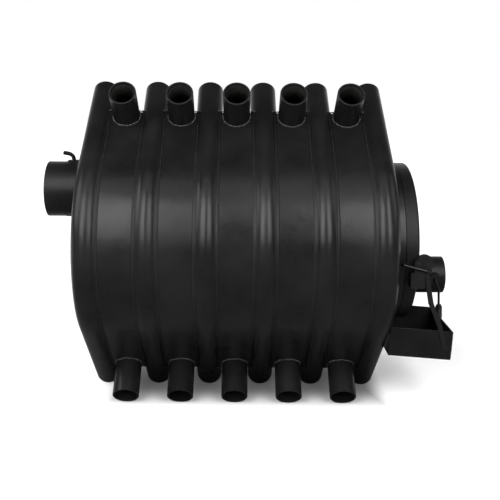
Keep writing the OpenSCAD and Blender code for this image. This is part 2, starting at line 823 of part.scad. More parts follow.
// The cam is eccentric about its pivot, and the arm leaves it at the link's eye
module latch_lever() {
    arm = [for (s = arm_shares) [s[0] * arm_reach, s[1] * arm_drop]];
    color(paint) on_floor() difference() {
        plate_xz(cam_y, lever_t) translate([latch_x, latch_z]) {
            circle(r = ear_r);
            translate([cam_offset, 0]) circle(d = cam_d);
            translate(eye_at) circle(d = lever_w * 1.8);
            bar_outline(concat([eye_at], arm), lever_w);
        }
        translate([latch_x, 2 * cam_y, latch_z]) rod_y(latch_pin_d / 2 + run_gap, -2 * cam_y);
        translate([latch_x + eye_at[0], 2 * cam_y, latch_z + eye_at[1]])
            rod_y(link_d / 2 + run_gap, -2 * cam_y);
    }
}

// The link is one bent rod: a leg in the cam's eye, a straight run and a leg at the keeper
module latch_link() {
    run = keeper_at - eye_at;
    len = norm(run);
    r = link_d / 2;
    bend = link_d;
    eye_leg = cam_y - side_gap - link_y;
    toe_leg = -neck_r - 2 * side_gap - r - link_y;
    color(bare_steel) on_floor()
        translate([latch_x + eye_at[0], link_y, latch_z + eye_at[1]]) rotate([0, atan2(run[1], -run[0]), 0]) {
            translate([0, bend, 0]) rod_y(r, eye_leg - bend);
            translate([-bend, bend, 0]) rod_bend(r, bend, 270, 90);
            translate([bend - len, 0, 0]) rod_x(r, len - 2 * bend);
            translate([bend - len, bend, 0]) rod_bend(r, bend, 180, 90);
            translate([-len, bend, 0]) rod_y(r, toe_leg - bend);
        }
}

module throttle_disc() {
    color(inner_paint) on_floor() translate([throttle_x + throttle_rod_r, 0, inlet_z])
        rod_x(inlet_r - inlet_wall - throttle_play, throttle_t);
}

// The throttle's rod crosses the tube, bends down at the near side and is set back upright lower down
module throttle_shaft() {
    end_y = inlet_r + spring_len + washer_t + 3 * weld_gap;
    bend = throttle_rod_d;
    slope = atan2(handle_shift, handle_slant);
    back = slope - atan2(handle_shift / 4, handle_drop);
    slant = norm([handle_shift, handle_slant]);
    color(paint) on_floor() {
        translate([throttle_x, handle_y + bend, inlet_z]) {
            rod_y(throttle_rod_r, end_y - handle_y - bend);
            sphere(r = throttle_rod_r * knee_share);
        }
        translate([throttle_x, end_y - washer_t, inlet_z]) rod_y(washer_r, washer_t);
        translate([throttle_x, handle_y, inlet_z]) rotate([0, -slope, 0]) {
            translate([0, bend, -bend]) round_x() rod_bend(throttle_rod_r, bend, 90, 90);
            translate([0, 0, -slant]) {
                cylinder(r = throttle_rod_r, h = slant - bend);
                sphere(r = throttle_rod_r * knee_share);
                rotate([0, back, 0]) rotate([180, 0, 0])
                    cylinder(r = throttle_rod_r, h = norm([handle_shift / 4, handle_drop]));
            }
        }
    }
}

// A round wire wound round Z: turns, pitch and a radius that may change along its height
function coil_point(t, turns, height, r_end, r_mid) =
    let (swell = min(1, min(t, 1 - t) * turns / 2))
    let (r = r_end + (r_mid - r_end) * swell)
    [r * cos(360 * turns * t), r * sin(360 * turns * t), height * t];

// The least gap between the turns of a wound wire, measured on points at least half a turn apart
function least_gap(path, wire_d, steps) =
    let (last = len(path) - 1)
    min([for (i = [0 : last - steps / 2], j = [i + steps / 2 : last]) norm(path[i] - path[j])]) - wire_d;

// A tube along a list of points, with sides faces round it
module tube_along(points, r, sides) {
    n = len(points);
    ring = [for (i = [0 : n - 1])
        let (a = points[max(i - 1, 0)])
        let (b = points[min(i + 1, n - 1)])
        let (along = (b - a) / norm(b - a))
        let (out = cross([0, 0, 1], along) / norm(cross([0, 0, 1], along)))
        let (up = cross(along, out))
        for (k = [0 : sides - 1])
            points[i] + r * (out * cos(360 * k / sides) + up * sin(360 * k / sides))];
    walls = [for (i = [0 : n - 2], k = [0 : sides - 1])
        let (l = (k + 1) % sides)
        each [[i * sides + k, (i + 1) * sides + k, i * sides + l],
            [i * sides + l, (i + 1) * sides + k, (i + 1) * sides + l]]];
    first_cap = [for (k = [1 : sides - 2]) [0, k, k + 1]];
    base = (n - 1) * sides;
    last_cap = [for (k = [1 : sides - 2]) [base, base + k + 1, base + k]];
    polyhedron(points = ring, faces = concat(walls, first_cap, last_cap));
}

module throttle_grip() {
    steps = 8;
    count = grip_turns * steps;
    end_r = throttle_rod_r + grip_wire_d / 2 + weld_gap;
    mid_r = (grip_d - grip_wire_d) / 2;
    drop = handle_slant + handle_drop;
    lean = atan2(handle_shift / 4, handle_drop);
    high = grip_len - grip_wire_d;
    path = [for (i = [0 : count]) coil_point(i / count, grip_turns, high, end_r, mid_r)];
    echo(least_gap_of_grip = least_gap(path, grip_wire_d, steps));
    color(bare_steel) on_floor()
        translate([throttle_x + handle_shift * 1.25, handle_y, inlet_z - drop]) rotate([0, -lean, 0])
            tube_along(path, grip_wire_d / 2, 6);
}

module throttle_spring() {
    steps = 8;
    count = spring_turns * steps;
    r = throttle_rod_r + spring_wire_d;
    path = [for (i = [0 : count]) coil_point(i / count, spring_turns, spring_len - spring_wire_d, r, r)];
    echo(least_gap_of_spring = least_gap(path, spring_wire_d, steps));
    color(bare_steel) on_floor()
        translate([throttle_x, inlet_r + weld_gap + spring_wire_d / 2, inlet_z]) rotate([-90, 0, 0])
            tube_along(path, spring_wire_d / 2, 6);
}

// The hung tray turns down about the top edge of the cleat
module hung() {
    translate([cleat_x - cleat_t / 2, 0, cleat_z + weld_gap]) rotate([0, tray_tilt, 0])
        translate([cleat_t / 2, 0, 0]) children();
}

module ash_tray() {
    back = tray_back;
    low = tray_rise - tray_h;
    color(paint) on_floor() hung() difference() {
        translate([back, -tray_w / 2, low]) cube([tray_len, tray_w, tray_h]);
        translate([back + tray_t, -tray_w / 2 + tray_t, low + tray_t])
            cube([tray_len - 2 * tray_t, tray_w - 2 * tray_t, tray_h]);
        translate([back - over, -tray_w / 2 + tray_t, -rear_cut])
            cube([tray_t + 2 * over, tray_w - 2 * tray_t, tray_h]);
    }
}

// Each hook is a strip riveted inside the rear wall, folded back over the cleat
module tray_hooks() {
    wall_x = tray_back + tray_t + weld_gap;
    rear = -cleat_t - hook_play - hook_t;
    color(paint) on_floor() hung() for (s = [-1, 1])
        translate([0, s * hook_y + hook_w / 2, 0]) rotate([90, 0, 0]) linear_extrude(hook_w) {
            translate([rear, 0]) square([wall_x + hook_t - rear, hook_t]);
            translate([rear, -hook_grip]) square([hook_t, hook_grip]);
            translate([wall_x, -rear_cut - hook_w]) square([hook_t, rear_cut + hook_w]);
        }
}

near_pipe(1);  // near_pipe_1
near_pipe(2);  // near_pipe_2
near_pipe(3);  // near_pipe_3
near_pipe(4);  // near_pipe_4
near_pipe(5);  // near_pipe_5
near_pipe(6);  // near_pipe_6
far_pipe(1);  // far_pipe_1
far_pipe(2);  // far_pipe_2
far_pipe(3);  // far_pipe_3
far_pipe(4);  // far_pipe_4
far_pipe(5);  // far_pipe_5
near_panel(1);  // near_panel_1
near_panel(2);  // near_panel_2
near_panel(3);  // near_panel_3
near_panel(4);  // near_panel_4
near_panel(5);  // near_panel_5
far_panel(1);  // far_panel_1
far_panel(2);  // far_panel_2
far_panel(3);  // far_panel_3
far_panel(4);  // far_panel_4
far_panel(5);  // far_panel_5
far_panel(6);  // far_panel_6
front_plate();
rear_plate();
baffle();
injector_tubes();
flue_collar();
damper_boss();
damper_disc();
damper_shaft();
damper_rivets();
door_neck();
latch_keeper();
hinge_bracket();
hinge_pin();
tray_cleat();
door_shell();
seal_channel();
seal_rope();
heat_shield();
shield_spacers();
shield_studs();
hinge_strap();
inlet_tube();
latch_bracket();
latch_pin();
throttle_disc();
throttle_shaft();
throttle_grip();
throttle_spring();
latch_lever();
latch_link();
ash_tray();
tray_hooks();
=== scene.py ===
# %% [markdown]
# A slow combustion stove, dressed around its finished steelwork
# The stove is a round firebox made of bent steel pipes with sheet strips welded between them.
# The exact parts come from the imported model, so this script never moves or reshapes them.
# It adds what a welder and a painter leave behind: seams, crescents of weld at every pipe mouth, rope,
# wire and paint.

# %% Load the finished steelwork
import math

import bmesh
import bpy
import numpy as np
from mathutils import Matrix, Vector


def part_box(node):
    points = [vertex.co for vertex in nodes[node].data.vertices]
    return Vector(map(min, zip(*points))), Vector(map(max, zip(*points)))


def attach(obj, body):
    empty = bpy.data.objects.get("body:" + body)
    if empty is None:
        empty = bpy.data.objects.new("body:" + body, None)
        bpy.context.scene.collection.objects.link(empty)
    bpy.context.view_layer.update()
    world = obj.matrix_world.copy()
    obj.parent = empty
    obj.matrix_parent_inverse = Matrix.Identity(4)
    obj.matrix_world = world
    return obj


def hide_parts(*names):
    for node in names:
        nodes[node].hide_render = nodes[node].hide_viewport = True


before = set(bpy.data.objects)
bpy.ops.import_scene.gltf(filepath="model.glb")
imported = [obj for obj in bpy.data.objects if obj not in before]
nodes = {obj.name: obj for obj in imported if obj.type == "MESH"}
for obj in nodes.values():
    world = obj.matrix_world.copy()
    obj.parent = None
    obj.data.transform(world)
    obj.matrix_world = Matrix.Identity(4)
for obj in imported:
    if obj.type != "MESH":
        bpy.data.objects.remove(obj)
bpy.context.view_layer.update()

# %% [markdown]
# Every later step needs a few sizes of the real stove: where its pipes are and how round its body is.
# They could be typed in again, but reading them from the parts keeps the looks and the steelwork together.

# %% Read the main sizes from the parts
MM = 0.001


def middle(node):
    low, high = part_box(node)
    return (low + high) / 2


def pipe_places(side):
    count = sum(name.startswith(f"{side}_pipe_") for name in nodes)
    return [middle(f"{side}_pipe_{i}").x for i in range(1, count + 1)]


near_xs = pipe_places("near")
far_xs = pipe_places("far")
RING_Z = middle("door_neck").z
pipe_low, pipe_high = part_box("near_pipe_1")
PIPE_R = (pipe_high.x - pipe_low.x) / 2
FRONT_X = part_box("front_plate")[1].x
REAR_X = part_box("rear_plate")[0].x
RING_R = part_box("far_pipe_1")[1].y - PIPE_R
STRIP_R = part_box("far_panel_2")[1].y
# how steeply the pipe ends run past the upper and the lower ridge, as the steelwork has it
TOP_SLOPE = math.asin(3 / 5)
FOOT_SLOPE = math.asin(10296 / 15625)
print(len(near_xs), "near pipes and", len(far_xs), "far pipes of radius", round(PIPE_R / MM, 1))
print("ring radius", round(RING_R / MM, 1), "strip radius", round(STRIP_R / MM, 1))

# %% [markdown]
# The photograph was taken square to the stove's side, from a little above it, with a long lens.
# The camera here stands where that camera stood, and its frame is shifted instead of its axis being tilted
# further, because a shift keeps the upright lines of the pipes as upright as the photograph shows them.

# %% Stand the camera where the photograph was taken
CAMERA_RIGHT, CAMERA_BACK, CAMERA_UP = 0.295, 1.740, 0.344
CAMERA_DOWN = math.radians(6.9)
CAMERA_ROLL = math.radians(0.45)
SENSOR = 36
PIXELS = 500
FOCAL_PIXELS = 798.6
AXIS_PIXEL = (236.1, 178.0)

camera_data = bpy.data.cameras.new("camera")
camera_data.sensor_width = SENSOR
camera_data.lens = FOCAL_PIXELS / PIXELS * SENSOR
camera_data.shift_x = (PIXELS / 2 - AXIS_PIXEL[0]) / PIXELS
camera_data.shift_y = (AXIS_PIXEL[1] - PIXELS / 2) / PIXELS
camera = bpy.data.objects.new("camera", camera_data)
bpy.context.scene.collection.objects.link(camera)
stand = Matrix.Translation((near_xs[0] + CAMERA_RIGHT, -CAMERA_BACK, RING_Z + CAMERA_UP))
tilt = Matrix.Rotation(math.radians(90) - CAMERA_DOWN, 4, "X") @ Matrix.Rotation(CAMERA_ROLL, 4, "Z")
camera.matrix_world = stand @ tilt
bpy.context.scene.camera = camera
print("lens", round(camera_data.lens, 1), "mm")

# %% [markdown]
# A finish is a small machine of nodes. A procedural pattern takes each point's place on the object and gives
# a number, and that number changes colour, gloss and height together, as one cause does on the real thing.
# The helpers below keep each finish short to write.

# %% Helpers for finishes


class Finish:
    """A material under construction: nodes are added by type and joined by name."""

    def __init__(self, name):
        self.material = bpy.data.materials.new(name)
        self.material.use_nodes = True
        self.tree = self.material.node_tree
        self.shader = self.tree.nodes["Principled BSDF"]
        self.place = self.add("ShaderNodeTexCoord").outputs["Object"]

    def add(self, kind, **settings):
        node = self.tree.nodes.new(kind)
        for key, value in settings.items():
            setattr(node, key, value)
        return node

    def join(self, start, end):
        self.tree.links.new(start, end)

    def fix(self, name, value):
        self.shader.inputs[name].default_value = value

    def noise(self, scale, detail=3.0, roughness=0.5, stretch=None):
        node = self.add("ShaderNodeTexNoise")
        node.inputs["Scale"].default_value = scale
        node.inputs["Detail"].default_value = detail
        node.inputs["Roughness"].default_value = roughness
        where = self.place
        if stretch:
            mapping = self.add("ShaderNodeMapping")
            mapping.inputs["Scale"].default_value = stretch
            self.join(self.place, mapping.inputs["Vector"])
            where = mapping.outputs["Vector"]
        self.join(where, node.inputs["Vector"])
        return node.outputs["Fac"]

    def spread(self, value, low, high, to_low=0.0, to_high=1.0, curve="LINEAR"):
        node = self.add("ShaderNodeMapRange", interpolation_type=curve)
        ends = {"From Min": low, "From Max": high, "To Min": to_low, "To Max": to_high}
        for key, number in ends.items():
            node.inputs[key].default_value = number
        self.join(value, node.inputs["Value"])
        return node.outputs["Result"]

    def blend(self, share, one, other):
        node = self.add("ShaderNodeMix", data_type="RGBA")
        self.join(share, node.inputs["Factor"])
        # a Mix node keeps its two colours in sockets 6 and 7, and its colour result in output 2
        for socket, colour in ((node.inputs[6], one), (node.inputs[7], other)):
            if isinstance(colour, tuple):
                socket.default_value = (*colour, 1)
            else:
                self.join(colour, socket)
        return node.outputs[2]

    def work(self, operation, one, other=None):
        """A Math node on one or two values, of which the second may be a plain number."""
        node = self.add("ShaderNodeMath", operation=operation)
        self.join(one, node.inputs[0])
        if isinstance(other, float):
            node.inputs[1].default_value = other
        elif other is not None:
            self.join(other, node.inputs[1])
        return node.outputs[0]

    def apart(self):
        node = self.add("ShaderNodeSeparateXYZ")
        self.join(self.place, node.inputs[0])
        return node.outputs

    def colour(self, value):
        self.join(value, self.shader.inputs["Base Color"])

    def rough(self, value, low, high, to_low, to_high):
        self.join(self.spread(value, low, high, to_low, to_high), self.shader.inputs["Roughness"])

    def bump(self, height, depth, under=None):
        node = self.add("ShaderNodeBump")
        node.inputs["Distance"].default_value = depth
        node.inputs["Strength"].default_value = 1.0
        self.join(height, node.inputs["Height"])
        if under:
            self.join(under, node.inputs["Normal"])
        self.join(node.outputs["Normal"], self.shader.inputs["Normal"])
        return node.outputs["Normal"]


print("finish helpers ready")

# %% [markdown]
# Heat-resistant stove paint is a thin black coat, sprayed straight on the steel. Close up it has a fine
# orange-peel grain, and over a hand's breadth its gloss wanders, because it dries unevenly.
# Three noise patterns of different sizes give these: a large one for gloss and tone, a middle one for the
# dents that rolled and bent sheet keeps, and a fine one for the grain.

# %% Black stove paint
CLOUD_SCALE, DENT_SCALE, SPECK_SCALE, GRAIN_SCALE = 9, 26, 420, 900
DUST_GAIN, DUST_LIFT = 1.45, 0.002
GLOSS_DOWN, GLOSS_UP = 0.05, 0.07


def stove_paint(name, tones, rough, gloss, dents=0.0003, grain=0.00005):
    dark, light = tones
    finish = Finish(name)
    cloud = finish.noise(CLOUD_SCALE, detail=5, roughness=0.6)
    speck = finish.noise(SPECK_SCALE, detail=2)
    tone = finish.blend(finish.spread(cloud, 0.35, 0.68), dark, light)
    dusty = tuple(DUST_GAIN * c + DUST_LIFT for c in light)
    finish.colour(finish.blend(finish.spread(speck, 0.62, 0.74, 0, 0.5), tone, dusty))
    finish.rough(cloud, 0.3, 0.7, rough - GLOSS_DOWN, rough + GLOSS_UP)
    finish.fix("Specular IOR Level", gloss)
    low = finish.bump(finish.noise(DENT_SCALE, detail=2), dents)
    finish.bump(finish.noise(GRAIN_SCALE, detail=2), grain, under=low)
    return finish.material


BODY_BLACK = (0.0034, 0.0034, 0.0036), (0.0058, 0.0058, 0.0061)
FITTING_BLACK = (0.0036, 0.0036, 0.0037), (0.0060, 0.0060, 0.0061)
SCORCHED_BROWN = (0.0060, 0.0056, 0.0052), (0.0180, 0.0160, 0.0140)
WELD_BLACK = (0.0050, 0.0050, 0.0053), (0.0080, 0.0080, 0.0084)
BEAD_BLACK = (0.0060, 0.0060, 0.0063), (0.0120, 0.0120, 0.0125)

outer_paint = stove_paint("outer_paint", BODY_BLACK, 0.30, 0.16, dents=0.0006)
seam_paint = stove_paint("seam_paint", BODY_BLACK, 0.40, 0.13)
fitting_paint = stove_paint("fitting_paint", FITTING_BLACK, 0.40, 0.105)
scorched_paint = stove_paint("scorched_paint", SCORCHED_BROWN, 0.70, 0.10, dents=0.0006, grain=0.0002)
weld_paint = stove_paint("weld_paint", WELD_BLACK, 0.42, 0.12, grain=0.00008)
bead_paint = stove_paint("bead_paint", BEAD_BLACK, 0.30, 0.42, grain=0.00008)
print("paints made")

# %% [markdown]
# Drawn wire and turned pins stay bare. Their surface is fine lines along the drawing direction with a little
# burnt tint. The door's rope is woven glass yarn, which is matt and takes up soot in clouds.

# %% Bare steel and rope
LINE_SCALE, TINT_SCALE = 700, 40
SOOT_SCALE, FIBRE_SCALE = 24, 1500


def bare_metal(name, dark, light, rough):
    finish = Finish(name)
    lines = finish.noise(LINE_SCALE, detail=2, stretch=(0.2, 1.0, 1.0))
    cloud = finish.noise(TINT_SCALE, detail=4)
    finish.colour(finish.blend(finish.spread(cloud, 0.35, 0.7), dark, light))
    finish.rough(lines, 0.3, 0.7, rough - 0.08, rough + 0.1)
    finish.fix("Metallic", 1.0)
    finish.bump(lines, 0.00005)
    return finish.material


def woven_rope(name):
    finish = Finish(name)
    soot = finish.noise(SOOT_SCALE, detail=5)
    fibre = finish.noise(FIBRE_SCALE, detail=2, stretch=(1.0, 1.0, 0.3))
    cloth = finish.blend(finish.spread(fibre, 0.3, 0.7), (0.20, 0.19, 0.17), (0.34, 0.33, 0.30))
    finish.colour(finish.blend(finish.spread(soot, 0.45, 0.70), cloth, (0.055, 0.050, 0.046)))
    finish.fix("Roughness", 0.9)
    finish.fix("Sheen Weight", 0.2)
    finish.bump(fibre, 0.0003)
    return finish.material


bright_steel = bare_metal("bright_steel", (0.085, 0.083, 0.080), (0.150, 0.147, 0.142), 0.36)
dark_wire = bare_metal("dark_wire", (0.020, 0.020, 0.021), (0.044, 0.043, 0.041), 0.38)
rope_cloth = woven_rope("rope_cloth")
print("metals and rope made")

# %% [markdown]
# The parts from the steelwork already have the right shape, so they only get a finish.
# A part that is named in none of these lists belongs to the painted body and gets its paint.

# %% Paint the parts
FINISHES = (
    (scorched_paint, ("baffle", "injector_tubes", "heat_shield", "shield_spacers", "damper_disc",
                      "throttle_disc", "seal_channel")),
    (bright_steel, ("damper_rivets", "shield_studs")),
    (dark_wire, ("hinge_pin", "latch_pin", "latch_link")),
    (fitting_paint, ("damper_shaft", "damper_boss", "latch_keeper", "hinge_bracket", "hinge_strap",
                     "latch_bracket", "latch_lever", "throttle_shaft", "tray_cleat", "tray_hooks",
                     "ash_tray", "inlet_tube", "flue_collar", "door_shell")),
)
finish_of = {name: material for material, names in FINISHES for name in names}


def give(obj, material):
    obj.data.materials.clear()
    obj.data.materials.append(material)


for name, part in nodes.items():
    give(part, finish_of.get(name, outer_paint))
print("painted", len(nodes), "parts, of which", len(finish_of), "in a finish of their own")

# %% [markdown]
# Welds and wire follow lines, so each is made by a small Geometry Nodes tree that is given the lines.
# Both trees start with the same kind of sockets, and end by making real geometry of what they placed and by
# giving it its material, so these two ends are written once.

# %% The ends that every tree shares


def new_tree(name, inputs):
    """A tree with geometry in and out and named inputs, with the two nodes that stand for its ends."""
    tree = bpy.data.node_groups.new(name, "GeometryNodeTree")
    tree.interface.new_socket(name="Geometry", in_out="INPUT", socket_type="NodeSocketGeometry")
    for title, kind, value in inputs:
        socket = tree.interface.new_socket(name=title, in_out="INPUT", socket_type=f"NodeSocket{kind}")
        socket.default_value = value
    tree.interface.new_socket(name="Metal", in_out="INPUT", socket_type="NodeSocketMaterial")
    tree.interface.new_socket(name="Geometry", in_out="OUTPUT", socket_type="NodeSocketGeometry")
    return tree, tree.nodes.new("NodeGroupInput"), tree.nodes.new("NodeGroupOutput")


def end_tree(tree, given, result, geometry):
    add, join = tree.nodes.new, tree.links.new
    real, metal = add("GeometryNodeRealizeInstances"), add("GeometryNodeSetMaterial")
    join(geometry, real.inputs["Geometry"])
    join(real.outputs["Geometry"], metal.inputs["Geometry"])
    join(given.outputs["Metal"], metal.inputs["Material"])
    join(metal.outputs["Geometry"], result.inputs["Geometry"])
    return tree


def grown(name, lines, tree, inputs):
    """Runs a tree on a mesh of open lines and keeps its result as a plain mesh."""
    mesh = bpy.data.meshes.new(name)
    points, edges = [], []
    for line in lines:
        edges += [(len(points) + i, len(points) + i + 1) for i in range(len(line) - 1)]
        points += [tuple(p) for p in line]
    mesh.from_pydata(points, edges, [])
    obj = bpy.data.objects.new(name, mesh)
    bpy.context.scene.collection.objects.link(obj)
    modifier = obj.modifiers.new("grow", "NODES")
    modifier.node_group = tree
    for item in tree.interface.items_tree:
        if item.in_out == "INPUT" and item.name in inputs:
            modifier[item.identifier] = inputs[item.name]
    bpy.context.view_layer.update()
    seen = obj.evaluated_get(bpy.context.evaluated_depsgraph_get())
    result = bpy.data.meshes.new_from_object(seen)
    obj.modifiers.clear()
    obj.data = result
    result.name = name
    return obj


print("tree helpers ready")

# %% [markdown]
# A weld bead is a row of frozen drops, each one lapping over the last. It could be a plain tube along the
# seam, but light catches the drops and not a tube, so the tree sets one flattened ball at even steps along
# any line it is given and makes each a little different.

# %% The tree that lays weld beads along lines
DROP_SEGMENTS, DROP_RINGS = 7, 4
DROP_LEAST, DROP_MOST = (0.70, 0.80, 0.80), (0.95, 1.20, 1.20)


def random_vector(tree, seed, least, most):
    node = tree.nodes.new("FunctionNodeRandomValue")
    node.data_type = "FLOAT_VECTOR"
    node.inputs["Min"].default_value = least
    node.inputs["Max"].default_value = most
    tree.links.new(seed, node.inputs["Seed"])
    return node.outputs["Value"]


def weld_tree():
    inputs = (("Step", "Float", 0.003), ("Radius", "Float", 0.0026),
              ("Wander", "Float", 0.0005), ("Seed", "Int", 1))
    tree, given, result = new_tree("weld_bead", inputs)
    add, join = tree.nodes.new, tree.links.new
    to_curve, even = add("GeometryNodeMeshToCurve"), add("GeometryNodeResampleCurve")
    even.mode = "LENGTH"
    join(given.outputs["Geometry"], to_curve.inputs["Mesh"])
    join(to_curve.outputs["Curve"], even.inputs["Curve"])
    join(given.outputs["Step"], even.inputs["Length"])
    # each drop is a ball, flattened along the seam
    ball = add("GeometryNodeMeshUVSphere")
    ball.inputs["Segments"].default_value = DROP_SEGMENTS
    ball.inputs["Rings"].default_value = DROP_RINGS
    join(given.outputs["Radius"], ball.inputs["Radius"])
    smooth = add("GeometryNodeSetShadeSmooth")
    join(ball.outputs["Mesh"], smooth.inputs["Geometry"])
    along, turn = add("GeometryNodeInputTangent"), add("FunctionNodeAlignRotationToVector")
    turn.axis = "X"
    join(along.outputs["Tangent"], turn.inputs["Vector"])
    # a random push of up to Wander in each direction
    scaled = add("ShaderNodeVectorMath")
    scaled.operation = "SCALE"
    join(random_vector(tree, given.outputs["Seed"], (-1, -1, -1), (1, 1, 1)), scaled.inputs["Vector"])
    join(given.outputs["Wander"], scaled.inputs["Scale"])
    shift = add("GeometryNodeSetPosition")
    join(even.outputs["Curve"], shift.inputs["Geometry"])
    join(scaled.outputs["Vector"], shift.inputs["Offset"])
    place = add("GeometryNodeInstanceOnPoints")
    join(shift.outputs["Geometry"], place.inputs["Points"])
    join(smooth.outputs["Geometry"], place.inputs["Instance"])
    join(turn.outputs["Rotation"], place.inputs["Rotation"])
    join(random_vector(tree, given.outputs["Seed"], DROP_LEAST, DROP_MOST), place.inputs["Scale"])
    return end_tree(tree, given, result, place.outputs["Instances"])


WELD_TREE = weld_tree()


def weld(name, lines, body, radius=2.6, step=2.8, wander=0.5, seed=1, metal=weld_paint):
    """Lays beads along lines, with their sizes in millimetres."""
    inputs = {"Step": step * MM, "Radius": radius * MM, "Wander": wander * MM, "Seed": seed, "Metal": metal}
    obj = grown(name, lines, WELD_TREE, inputs)
    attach(obj, body)
    print(name, len(obj.data.polygons), "faces")
    return obj


print("each drop has", DROP_SEGMENTS * DROP_RINGS, "faces")

# %% [markdown]
# Each sheet strip is welded to the pipe on either side of it, so a seam runs in every groove from the upper
# ridge, round the belly and down to the lower ridge. One function gives that path in side view, and the seams
# repeat it.

# %% The path of a long seam
SIDE = {"near": -1, "far": 1}
ARC_STEPS = 40


def belly_path(radius, side):
    """Points in side view from the upper ridge round one side to the lower ridge."""
    points = [(0.0, radius / math.cos(TOP_SLOPE))]
    for i in range(ARC_STEPS + 1):
        angle = math.pi / 2 - TOP_SLOPE - i / ARC_STEPS * (math.pi - TOP_SLOPE - FOOT_SLOPE)
        points.append((radius * math.cos(angle), radius * math.sin(angle)))
    points.append((0.0, -radius / math.cos(FOOT_SLOPE)))
    return [(SIDE[side] * y, z + RING_Z) for y, z in points]


def belly_line(x, radius, side):
    return [(x, y, z) for y, z in belly_path(radius, side)]


BESIDE_SHARE = 1.2


def grooves(xs):
    """The middle of every pipe that has a strip beside it, with the side on which the strip lies."""
    return [(x, s) for x in xs for s in (-1, 1) if REAR_X < x + s * BESIDE_SHARE * PIPE_R < FRONT_X]


print(len(grooves(near_xs)), "near grooves and", len(grooves(far_xs)), "far grooves")

# %% [markdown]
# In the photograph a strip flows into its pipe without a sharp corner. A row of drops alone would look coarse
# there, so a smooth hollow face is skinned along the path from one curved section, and a row of small beads
# lies half sunk in it.

# %% The long seams in the grooves
# where the seam's smooth face starts on the pipe, and where it ends on the strip, from the pipe's middle
ON_PIPE = 17.5 * MM
ON_STRIP = 26.5 * MM
SEAM_STEPS = 5
PROUD = 0.05 * MM
SEAM_UNDER = 1 * MM
RIPPLE_AT, RIPPLE_SUNK = 23.6 * MM, 0.7 * MM


def seam_section():
    """The seam across the groove: from the pipe, hollow down to the strip, and back under the corner."""
    rise = math.sqrt(PIPE_R ** 2 - ON_PIPE ** 2)
    pipe_height, strip_height = RING_R + rise + PROUD, STRIP_R + PROUD
    slope = ON_PIPE / rise
    bend = ON_PIPE + (pipe_height - strip_height) / slope
    points = []
    for i in range(SEAM_STEPS + 1):
        t = i / SEAM_STEPS
        across = (1 - t) ** 2 * ON_PIPE + 2 * t * (1 - t) * bend + t ** 2 * ON_STRIP
        height = (1 - t) ** 2 * pipe_height + (2 * t * (1 - t) + t ** 2) * strip_height
        points.append((across, height))
    return points + [(ON_STRIP, STRIP_R - SEAM_UNDER), (ON_PIPE, STRIP_R - SEAM_UNDER)]


def made(name, shape, body, material):
    """Turns finished geometry into a smooth piece that rides on a body."""
    bmesh.ops.recalc_face_normals(shape, faces=shape.faces)
    for face in shape.faces:
        face.smooth = True
    mesh = bpy.data.meshes.new(name)
    shape.to_mesh(mesh)
    shape.free()
    obj = bpy.data.objects.new(name, mesh)
    bpy.context.scene.collection.objects.link(obj)
    give(obj, material)
    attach(obj, body)
    print(name, len(mesh.polygons), "faces")
    return obj


def lofted(name, bundles, body, material):
    """Skins each bundle of equal lines, which run along a closed section, and caps both ends."""
    shape = bmesh.new()
    for lines in bundles:
        rows = [[shape.verts.new(p) for p in line] for line in lines]
        for a, b in zip(rows, rows[1:] + rows[:1]):
            for i in range(len(a) - 1):
                shape.faces.new((a[i], a[i + 1], b[i + 1], b[i]))
        for end in (0, -1):
            shape.faces.new([row[end] for row in rows])
    return made(name, shape, body, material)


section = seam_section()
for side, xs in (("near", near_xs), ("far", far_xs)):
    bundles = [[belly_line(x + s * across, height, side) for across, height in section]
               for x, s in grooves(xs)]
    lofted(f"{side}_fillets", bundles, "body", seam_paint)
    ripple = [belly_line(x + s * RIPPLE_AT, STRIP_R - RIPPLE_SUNK, side) for x, s in grooves(xs)]
    weld(f"{side}_seams", ripple, "body", radius=1.5, step=2.4, wander=0.35, seed=3)

# %% [markdown]
# Where a pipe end comes out through the other side's strip, the welder went round its foot.
# The cut is where a slanted cylinder meets a flat roof, so its points are found by sliding along the pipe's
# wall until the roof's plane is reached. Only the part on the strip's own side of the ridge is welded there.
# The photograph shows each of these beads as a bright line, so they have the glossiest paint.

# %% The crescents at the pipe mouths
CRESCENT_STEPS = 72
BEAD_PROUD = 0.4 * MM


def crescent(x, side, upper):
    """Points round the foot of a pipe end on the strip that it comes through, on the given side."""
    slope = TOP_SLOPE if upper else FOOT_SLOPE
    up = 1 if upper else -1
    axis = Vector((0, -math.cos(slope), up * math.sin(slope)))
    across = Vector((0, math.sin(slope), up * math.cos(slope)))
    roof = Vector((0, -math.sin(slope), up * math.cos(slope)))
    line = []
    for i in range(CRESCENT_STEPS + 1):
        angle = math.radians(360 / CRESCENT_STEPS * i)
        point = across * RING_R + PIPE_R * (math.cos(angle) * across + Vector((math.sin(angle), 0, 0)))
        point += axis * ((STRIP_R + BEAD_PROUD - point.dot(roof)) / axis.dot(roof))
        line.append((x + point.x, -SIDE[side] * point.y, point.z + RING_Z))
    return line


def on_strip(line, side):
    """The runs of a closed line that lie on the given side of the ridge and between the end plates."""
    kept = [SIDE[side] * y > 0 and REAR_X < x < FRONT_X for x, y, z in line]
    if all(kept):
        return [line]
    start = next(i for i in range(len(line)) if kept[i] and not kept[i - 1])
    turned = [(line[(start + i) % len(line)], kept[(start + i) % len(line)]) for i in range(len(line))]
    runs = [[]]
    for point, keep in turned:
        if keep:
            runs[-1].append(point)
        elif runs[-1]:
            runs.append([])
    return [run for run in runs if len(run) > 2]


for side, other_xs, seed in (("near", far_xs, 5), ("far", near_xs, 6)):
    feet = [crescent(x, side, upper) for x in other_xs for upper in (True, False)]
    runs = [run for foot in feet for run in on_strip(foot, side)]
    weld(f"{side}_crescents", runs, "body", radius=3.0, wander=0.6, seed=seed, metal=bead_paint)

